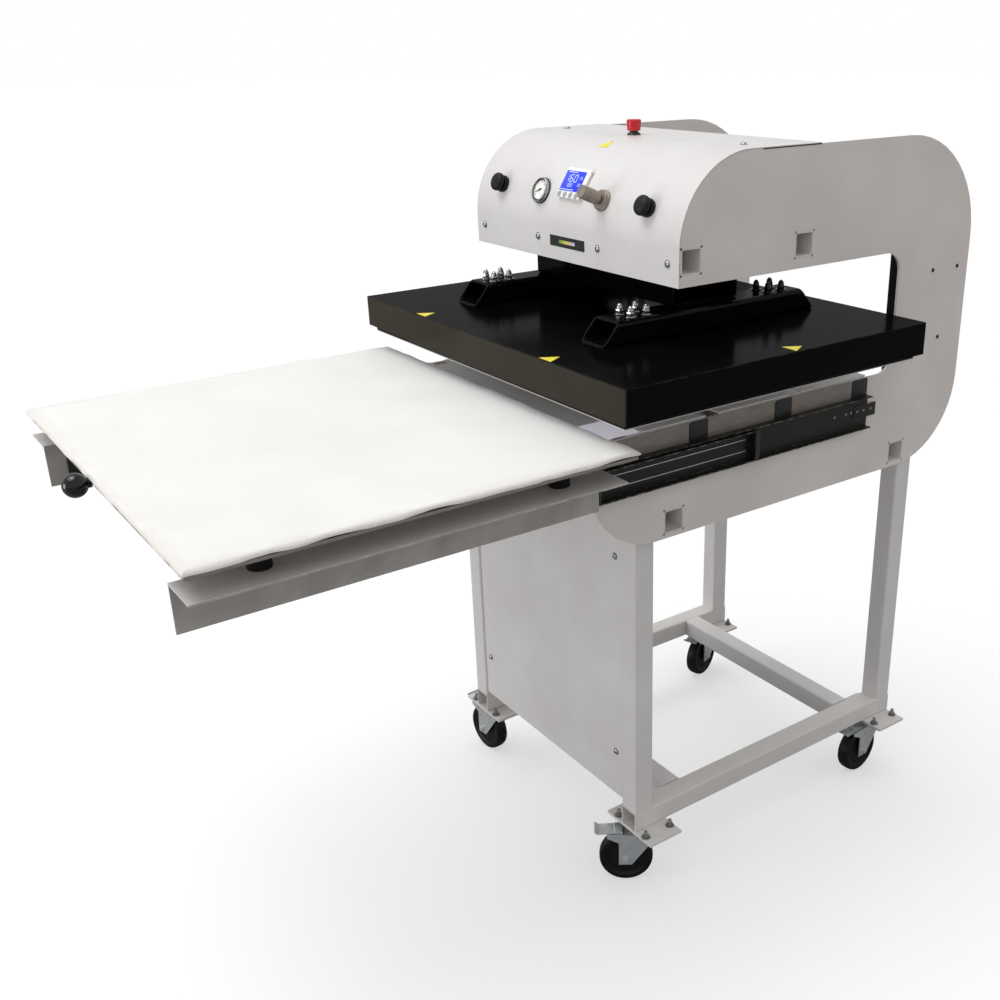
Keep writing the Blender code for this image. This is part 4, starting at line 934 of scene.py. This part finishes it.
def add_standoff_sleeves():
    """Black rubber sleeves round the four posts under the table plate."""
    plate_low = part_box("table_plate")[0]
    rail_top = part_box("tray_rail_right")[1].z
    pad_low, pad_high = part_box("table_pad")
    top = pad_low.z - 0.0065
    foot = max(rail_top, plate_low.z) + 0.0004
    profile = [(0.0152, foot), (0.0192, foot), (0.0200, foot + 0.0015), (0.0200, top - 0.0070)]
    profile += [
        (0.0186, top - 0.0060), (0.0186, top - 0.0030), (0.0196, top - 0.0020), (0.0196, top - 0.0004)]
    profile += [(0.0152, top - 0.0004), (0.0152, foot)]
    for side_name, side in SIDES.items():
        for end_name, y in (("front", pad_low.y + 0.134), ("rear", pad_high.y - 0.131)):
            place = Matrix.Translation((side * 0.425, y, 0))
            name = f"standoff_sleeve_{end_name}_{side_name}"
            turned_piece(name, profile, place, "rubber", "table", 40)


def add_pull_knob():
    """Glossy ball knob on a short neck at the middle of the table's front edge."""
    low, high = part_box("pull_knob")
    centre = middle("pull_knob")
    radius = (high.x - low.x) / 2
    place = placed((centre.x, low.y + radius, centre.z), (0, -1, 0))
    neck, neck_foot = radius * 0.42, -radius - 0.0045
    start, end = math.radians(-62), math.radians(84)
    profile = [(0, neck_foot), (neck, neck_foot), (neck, radius * math.sin(start))]
    for step in range(25):
        angle = start + (end - start) * step / 24
        profile.append((radius * math.cos(angle), radius * math.sin(angle)))
    profile.append((0, radius * 0.999))
    knob = turned_piece("pull_knob_ball", profile, place, "black_gloss", "table")
    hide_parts("pull_knob")


# ================================================================ controls
def mushroom_profile(radius, foot, top, stem, stem_foot, crown):
    """Side view of a mushroom push button."""
    rim = (top - foot) * 0.22
    profile = [(0, stem_foot), (stem, stem_foot), (stem, foot + rim * 0.2), (radius * 0.93, foot)]
    profile += [(radius * 0.985, foot + rim * 0.35), (radius, foot + rim)]
    rise = (top - foot) * crown
    shoulder = top - rise
    for step in range(13):
        angle = math.pi / 2 * step / 12
        profile.append((radius * math.cos(angle), shoulder + rise * math.sin(angle)))
    profile[-1] = (0, top)
    return profile


def add_palm_buttons():
    """Black mushroom start buttons in ribbed collars."""
    cap = mushroom_profile(0.0200, 0.0150, 0.0308, 0.0090, 0.0056, 0.62)
    collar = [(0.0096, -0.004), (0.0172, -0.004), (0.0176, 0.0014), (0.0182, 0.0030), (0.0184, 0.0078)]
    collar += [(0.0176, 0.0096), (0.0160, 0.0102), (0.0112, 0.0100), (0.0096, 0.0088), (0.0096, -0.004)]

    def ribs(angle, radius, height):
        return 0.0004 * math.cos(angle * 20) if radius > 0.0178 else 0

    for side_name in SIDES:
        seat = cover_seat(PALM_X[side_name], PANEL_ANGLE)
        piece = turned_piece(
            f"palm_cap_{side_name}", cap, seat, "rubber", f"palm_{side_name}")
        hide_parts(f"palm_button_{side_name}")
        name = f"palm_ring_{side_name}"
        piece = turned_piece(name, collar, seat, "rubber", "frame", 120, ribs)
        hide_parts(f"palm_collar_{side_name}")


def add_gauge():
    """Pressure gauge: stepped steel case on a gasket, white dial with ticks, and a needle."""
    seat = cover_seat(GAUGE_X, PANEL_ANGLE)
    case = [(0, -0.004), (0.0268, -0.004), (0.0268, 0.0080), (0.0262, 0.0096), (0.0252, 0.0104)]
    case += [(0.0240, 0.0100), (0.0232, 0.0086), (0.0228, 0.0074), (0.0216, 0.0066), (0, 0.0066)]
    piece = turned_piece("gauge_case", case, seat, "steel", "frame")
    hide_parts("pressure_gauge")
    dial = [(0, 0.0062), (0.0208, 0.0062), (0.0208, 0.0070), (0, 0.0070)]
    turned_piece("gauge_dial", dial, seat, "dial", "frame")
    ring = [(0.0204, 0.0064), (0.0226, 0.0064), (0.0230, 0.0080), (0.0208, 0.0076), (0.0204, 0.0064)]
    turned_piece("gauge_inner_ring", ring, seat, "ink", "frame")
    gasket = [(0.0262, -0.001), (0.0284, -0.001), (0.0284, 0.0014), (0.0276, 0.0024), (0.0262, 0.0024)]
    turned_piece("gauge_gasket", gasket + gasket[:1], seat, "ink", "frame")
    mesh = bmesh.new()
    for tick in range(31):
        angle = math.radians(225 - 270 * tick / 30)
        inner, width = (0.0148, 0.0013) if tick % 5 == 0 else (0.0168, 0.0007)
        spot = seat @ Matrix.Rotation(angle, 4, "Z") @ Matrix.Translation(((inner + 0.0192) / 2, 0, 0))
        extrude_into(mesh, rounded(0.0192 - inner, width, 0.0002, 2), 0.0069, 0.0072, spot)
    new_piece("gauge_ticks", mesh, "ink", "frame")
    mesh = bmesh.new()
    spot = seat @ Matrix.Rotation(math.radians(205), 4, "Z")
    needle = [
        (-0.0070, -0.0012), (0, -0.0013), (0.0165, -0.0003), (0.0165, 0.0003), (0, 0.0013), (-0.0070, 0.0012)]
    extrude_into(mesh, needle, 0.0076, 0.0081, spot)
    turn_into(
        mesh, [(0, 0.0070), (0.0024, 0.0070), (0.0024, 0.0086), (0.0016, 0.0090), (0, 0.0090)], spot, 24)
    new_piece("gauge_needle", mesh, "ink", "frame")


def add_regulator():
    """Pressure regulator: a flanged neck under a ribbed knob."""
    seat = cover_seat(REGULATOR_X, PANEL_ANGLE)
    body = [
        (0, -0.004), (0.0220, -0.004), (0.0220, 0.0035), (0.0212, 0.0046), (0.0200, 0.0050), (0.0200, 0.0098)]
    body += [(0.0188, 0.0112), (0.0120, 0.0120), (0.0086, 0.0128), (0.0086, 0.0164), (0, 0.0164)]
    piece = turned_piece("regulator_flange", body, seat, "lacquer", "frame")
    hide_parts("regulator_body")

    def ribs(angle, radius, height):
        grip = radius > 0.012 and 0.024 < height < 0.052
        return 0.0005 * math.cos(angle * 16) if grip else 0

    knob = [
        (0, 0.0172), (0.0126, 0.0172), (0.0138, 0.0182), (0.0140, 0.0205), (0.0132, 0.0225), (0.0132, 0.0245)]
    knob += [(0.0136, 0.0290), (0.0136, 0.0480), (0.0132, 0.0530), (0.0140, 0.0545), (0.0140, 0.0575)]
    knob += [(0.0130, 0.0592), (0.0090, 0.0598), (0.0084, 0.0588), (0, 0.0588)]
    piece = turned_piece(
        "regulator_grip", knob, seat, "lacquer", "pressure_knob", 128, ribs)
    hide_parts("regulator_knob")


SEGMENTS = {
    "a": (0, 1, True), "b": (0.5, 0.5, False), "c": (0.5, -0.5, False), "d": (0, -1, True),
    "e": (-0.5, -0.5, False), "f": (-0.5, 0.5, False), "g": (0, 0, True),
}
DIGITS = {"0": "abcdef", "1": "bc", "3": "abcdg", "5": "acdfg", "6": "acdefg", "8": "abcdefg"}


def digit_into(mesh, digit, place, height):
    """One seven-segment digit, raised a hair above the display."""
    half, thick = height / 2, height * 0.11
    for segment in DIGITS[digit]:
        x, y, level = SEGMENTS[segment]
        length = half * 0.88
        size = (length, thick) if level else (thick, length)
        outline = rounded(*size, thick * 0.45, 2)
        spot = place @ Matrix.Translation((x * height * 0.56, y * half, 0))
        extrude_into(mesh, outline, 0, GLYPH, spot)


def add_controller():
    """Controller: a white bezel, a blue display with digits and bars, and four round keys."""
    low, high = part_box("controller")
    width = high.x - low.x
    seat = cover_seat(0, CONTROLLER_ANGLE) @ Matrix.Translation((0, -CONTROLLER_DROP, 0))
    outline = rounded(width, CONTROLLER_DEPTH, 0.004)
    heights = (-0.0046, CONTROLLER_FACE - 0.0004)
    piece = flat_piece(
        "controller_case", outline, heights, seat, "white_plastic", "frame", 0.0012)
    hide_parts("controller")
    screen = seat @ Matrix.Translation((-0.0055, 0.0035, CONTROLLER_FACE - 0.0006))
    outline = rounded(0.069, 0.045, 0.0015)
    flat_piece(
        "controller_display", outline, (0, 0.0009), screen, "display", "frame", 0.0002)
    mesh = bmesh.new()
    skin = screen @ Matrix.Translation((0, 0, 0.0009))
    shown = [("160", 0.016, -0.021, 0.014, 0.0060), ("180", 0.008, -0.016, 0.008, -0.0095)]
    shown += [("30", 0.006, 0.0215, 0.006, 0.0080), ("30", 0.006, 0.0215, 0.006, -0.0070)]
    for digits, height, start, pitch, y in shown:
        for number, digit in enumerate(digits):
            digit_into(mesh, digit, skin @ Matrix.Translation((start + pitch * number, y, 0)), height)
    for x, y, long in ((-0.0095, -0.0195, 0.046), (-0.010, 0.0195, 0.030)):
        extrude_into(mesh, rounded(long, 0.0014, 0.0005, 2), 0, GLYPH, skin @ Matrix.Translation((x, y, 0)))
    new_piece("controller_digits", mesh, "glyph", "frame")
    for number in range(4):
        spot = seat @ Matrix.Translation((-0.034 + 0.020 * number, -0.0270, CONTROLLER_FACE - 0.0008))
        mesh = bmesh.new()
        turn_into(mesh, [(0, 0), (0.0064, 0), (0.0064, 0.0008), (0.0056, 0.0016), (0, 0.0018)], spot, 36)
        extrude_into(mesh, rounded(0.0044, 0.0010, 0.0004, 2), 0.0017, 0.0020, spot)
        new_piece(f"controller_key_{number}", mesh, "grey_key", "frame")
    edge = seat @ Matrix.Translation((width / 2 + 0.0003, 0, 0))
    outline = rounded(0.0007, CONTROLLER_DEPTH - 0.008, 0.0003, 2)
    flat_piece("controller_edge", outline, (-0.0044, 0.0006), edge, "tan_edge", "frame")


def add_emergency_stop():
    """Red stop button with a tapered head on a flared black base."""
    base_low, base_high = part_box("estop_base")
    head_low, head_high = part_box("estop_button")
    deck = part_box("top_cover")[1].z
    seat = Matrix.Translation((middle("estop_base").x, middle("estop_base").y, deck))
    radius = (base_high.x - base_low.x) / 2
    bore, bore_foot = radius * 0.66, 0.0002
    base = [(0, -0.0005), (radius, -0.0005), (radius, 0.0016), (radius * 0.92, 0.0028)]
    base += [(radius * 0.88, STOP_FOOT - 0.0008), (radius * 0.84, STOP_FOOT), (bore, STOP_FOOT)]
    base += [(bore, bore_foot), (0, bore_foot)]
    piece = turned_piece("estop_foot", base, seat, "black_plastic", "frame")
    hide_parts("estop_base")
    reach = (head_high.x - head_low.x) / 2
    top = head_high.z - deck
    foot = STOP_FOOT + STOP_TRAVEL_ROOM
    neck, neck_foot = bore - 0.0004, STOP_FOOT - 0.0002
    outline = [(0, neck_foot), (neck, neck_foot), (neck, foot), (0, foot)]
    turned_piece("estop_neck", outline, seat, "black_plastic", "stop")
    head = [(0, foot - 0.0002), (reach * 0.88, foot - 0.0002), (reach * 0.92, foot + 0.0010)]
    head += [(reach * 0.94, foot + 0.0060), (reach * 0.99, top - 0.0050), (reach, top - 0.0034)]
    head += [(reach * 0.96, top - 0.0014), (reach * 0.84, top - 0.0003), (reach * 0.5, top), (0, top)]
    piece = turned_piece("estop_head", head, seat, "red_plastic", "stop")
    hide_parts("estop_button")


def add_stickers():
    """Plain yellow triangles and a plain nameplate."""
    platen = middle("platen_cover")
    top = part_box("platen_cover")[1].z
    for number, (x, y) in enumerate(((-0.241, -0.386), (0.249, -0.386), (0.481, 0.030))):
        place = Matrix.Translation((x, platen.y + y, top - 0.0001))
        outline = polygon(0.0235, 3, math.pi / 2)
        flat_piece(f"platen_sticker_{number}", outline, (0, 0.0004), place, "yellow", "head")
    outline = polygon(0.020, 3, math.pi / 2)
    place = cover_seat(-0.008, math.radians(68))
    flat_piece("cover_sticker", outline, (-0.0002, 0.0005), place, "yellow", "frame")
    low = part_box("top_cover")[0]
    place = placed((-0.001, low.y, low.z + 0.040), (0, -1, 0))
    outline = rounded(0.126, 0.0225, 0.0015)
    flat_piece("nameplate", outline, (-0.0002, 0.0006), place, "plate_black", "frame")
    outline = rounded(0.058, 0.007, 0.001)
    flat_piece("nameplate_bar", outline, (0.0005, 0.0008), place, "colour_bar", "frame")


# ================================================================ casters
def add_casters():
    """Turned wheels with hubs, axle nuts, and the studs and nuts that hold each caster."""
    bolts = hex_bolt_mesh()
    studs = stud_nut_mesh()
    for corner in CORNERS:
        centre = JOINT_POINTS[f"roll_{corner}"]
        swivel = JOINT_POINTS[f"swivel_{corner}"]
        trail = centre - swivel
        across = Vector((-trail.y, trail.x, 0)).normalized()
        profile = wheel_profile(centre.z, WHEEL_HALF)
        name = f"wheel_tyre_{corner}"
        wheel = turned_piece(
            name, profile, placed(centre, across), "wheel", f"wheel_{corner}", 72)
        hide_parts(f"caster_wheel_{corner}")
        side_name = corner.split("_")[1]
        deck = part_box(f"side_rail_{side_name}")[0].z + CASTER_PAD_TOP
        for number in range(4):
            x = swivel.x + CASTER_BOLTS[0] * (1 if number % 2 else -1)
            y = swivel.y + CASTER_BOLTS[1] * (1 if number > 1 else -1)
            spot = placed((x, y, deck), spin=0.5 * number)
            new_object(f"caster_stud_{corner}_{number}", studs, "dull_zinc", "frame", spot)
        for end_name, end in (("inner", -1), ("outer", 1)):
            spot = placed(centre + across * end * 0.0236, across * end)
            name = f"axle_nut_{corner}_{end_name}"
            new_object(name, bolts, "zinc", f"caster_{corner}", spot)


def wheel_profile(radius, half):
    """Half section of a wheel: crowned tread, rounded shoulders, dished sides and a hub."""
    hub = radius * 0.26
    side = [(hub * 0.55, half), (hub, half), (hub, half * 0.80), (radius * 0.62, half * 0.62)]
    side += [(radius * 0.72, half * 0.66), (radius * 0.78, half * 0.86), (radius * 0.88, half * 0.92)]
    side += [(radius * 0.965, half * 0.78), (radius * 0.99, half * 0.55), (radius, half * 0.2)]
    upper = [(0, half)] + side
    lower = [(reach, -height) for reach, height in reversed(upper)]
    return upper + lower


# ================================================================ studio
def add_floor():
    """Plain pale floor, brighter and glowing to the camera, darker where it bounces light."""
    finish = Finish("pale_floor", 0.9, specular=0.05)
    path = finish.node("ShaderNodeLightPath").outputs["Is Camera Ray"]
    cloud = finish.remap(finish.noise(0.8, 3), 0.0, 1.0, -0.01, 0.01)
    level = finish.remap(path, 0.0, 1.0, FLOOR_BOUNCE, FLOOR_SEEN)
    level = finish.math("ADD", level, cloud)
    grey = finish.node("ShaderNodeCombineColor", {0: level, 1: level, 2: level}).outputs["Color"]
    finish.colour(grey)
    glow = finish.node("ShaderNodeEmission", {"Color": (1, 1, 1, 1), "Strength": 1.0}).outputs["Emission"]
    share = finish.math("MULTIPLY", path, FLOOR_GLOW)
    lit = finish.node(
        "ShaderNodeMixShader", {0: share, 1: finish.shader.outputs["BSDF"], 2: glow}).outputs["Shader"]
    finish.tree.links.new(lit, finish.tree.nodes["Material Output"].inputs["Surface"])
    mesh = bmesh.new()
    turn_into(mesh, [(0, -0.02), (60, -0.02), (60, -0.0005), (0, -0.0005)], steps=96)
    data = finished_mesh("floor", mesh)
    data.materials.append(finish.material)
    floor = bpy.data.objects.new("floor", data)
    bpy.context.scene.collection.objects.link(floor)


def add_light(name, kind, aim, power):
    """Lamp that shines along aim."""
    light = bpy.data.lights.new(name, kind)
    light.energy = power
    lamp = bpy.data.objects.new(name, light)
    lamp.rotation_euler = Vector(aim).to_track_quat("-Z", "Y").to_euler()
    bpy.context.scene.collection.objects.link(lamp)
    return lamp


def add_soft_box(name, place, target, size, power):
    """Square soft box aimed at a point."""
    lamp = add_light(name, "AREA", Vector(target) - Vector(place), power)
    lamp.location = place
    lamp.data.shape = "SQUARE"
    lamp.data.size = size


def add_studio():
    """Soft light from above and in front, in a surround that is whiter to the camera than it lights."""
    add_floor()
    add_light("sky_light", "SUN", (0.20, 0.26, -1.0), SKY_POWER).data.angle = SKY_SPREAD
    add_soft_box("overhead", (-0.3, -1.5, 3.9), (0, 0, 1.1), 0.9, 12)
    add_soft_box("front", (-1.5, -4.6, 1.1), (0, 0, 0.55), 1.8, 54)
    world = bpy.data.worlds.new("surround")
    world.use_nodes = True
    tree = world.node_tree
    lit = tree.nodes["Background"]
    lit.inputs["Color"].default_value = (1, 1, 1, 1)
    lit.inputs["Strength"].default_value = SURROUND_LIGHT
    seen = tree.nodes.new("ShaderNodeBackground")
    seen.inputs["Color"].default_value = (1, 1, 1, 1)
    path = tree.nodes.new("ShaderNodeLightPath")
    mix = tree.nodes.new("ShaderNodeMixShader")
    tree.links.new(path.outputs["Is Camera Ray"], mix.inputs[0])
    tree.links.new(lit.outputs[0], mix.inputs[1])
    tree.links.new(seen.outputs[0], mix.inputs[2])
    tree.links.new(mix.outputs[0], tree.nodes["World Output"].inputs["Surface"])
    bpy.context.scene.world = world
    bpy.context.scene.view_settings.view_transform = "Standard"


def add_camera():
    """Camera in front of the press's right corner, looking down at it."""
    sin_a, cos_a = math.sin(CAMERA_AZIMUTH), math.cos(CAMERA_AZIMUTH)
    sin_e, cos_e = math.sin(CAMERA_ELEVATION), math.cos(CAMERA_ELEVATION)
    ahead = Vector((-sin_a * cos_e, cos_a * cos_e, -sin_e))
    level = Vector((cos_a, sin_a, 0))
    upright = level.cross(ahead)
    sin_r, cos_r = math.sin(CAMERA_ROLL), math.cos(CAMERA_ROLL)
    right = cos_r * level + sin_r * upright
    up = -sin_r * level + cos_r * upright
    data = bpy.data.cameras.new("camera")
    data.lens = CAMERA_LENS
    data.shift_x, data.shift_y = CAMERA_SHIFT
    data.clip_start, data.clip_end = 0.05, 200
    camera = bpy.data.objects.new("camera", data)
    turn = Matrix((right, up, -ahead)).transposed().to_4x4()
    camera.matrix_world = Matrix.Translation(CAMERA_PLACE) @ turn
    bpy.context.scene.collection.objects.link(camera)
    bpy.context.scene.camera = camera


add_camera()
add_studio()
dress_frame()
add_table_pad()
add_standoff_sleeves()
add_pull_knob()
add_arm_nuts()
add_frame_screws()
add_tube_shade_plugs()
add_front_cross_rail()
add_bed_strips()
add_glowing_light_patch()
add_cover_sheet()
add_slide_fittings()
add_palm_buttons()
add_gauge()
add_regulator()
add_controller()
add_emergency_stop()
add_stickers()
add_casters()
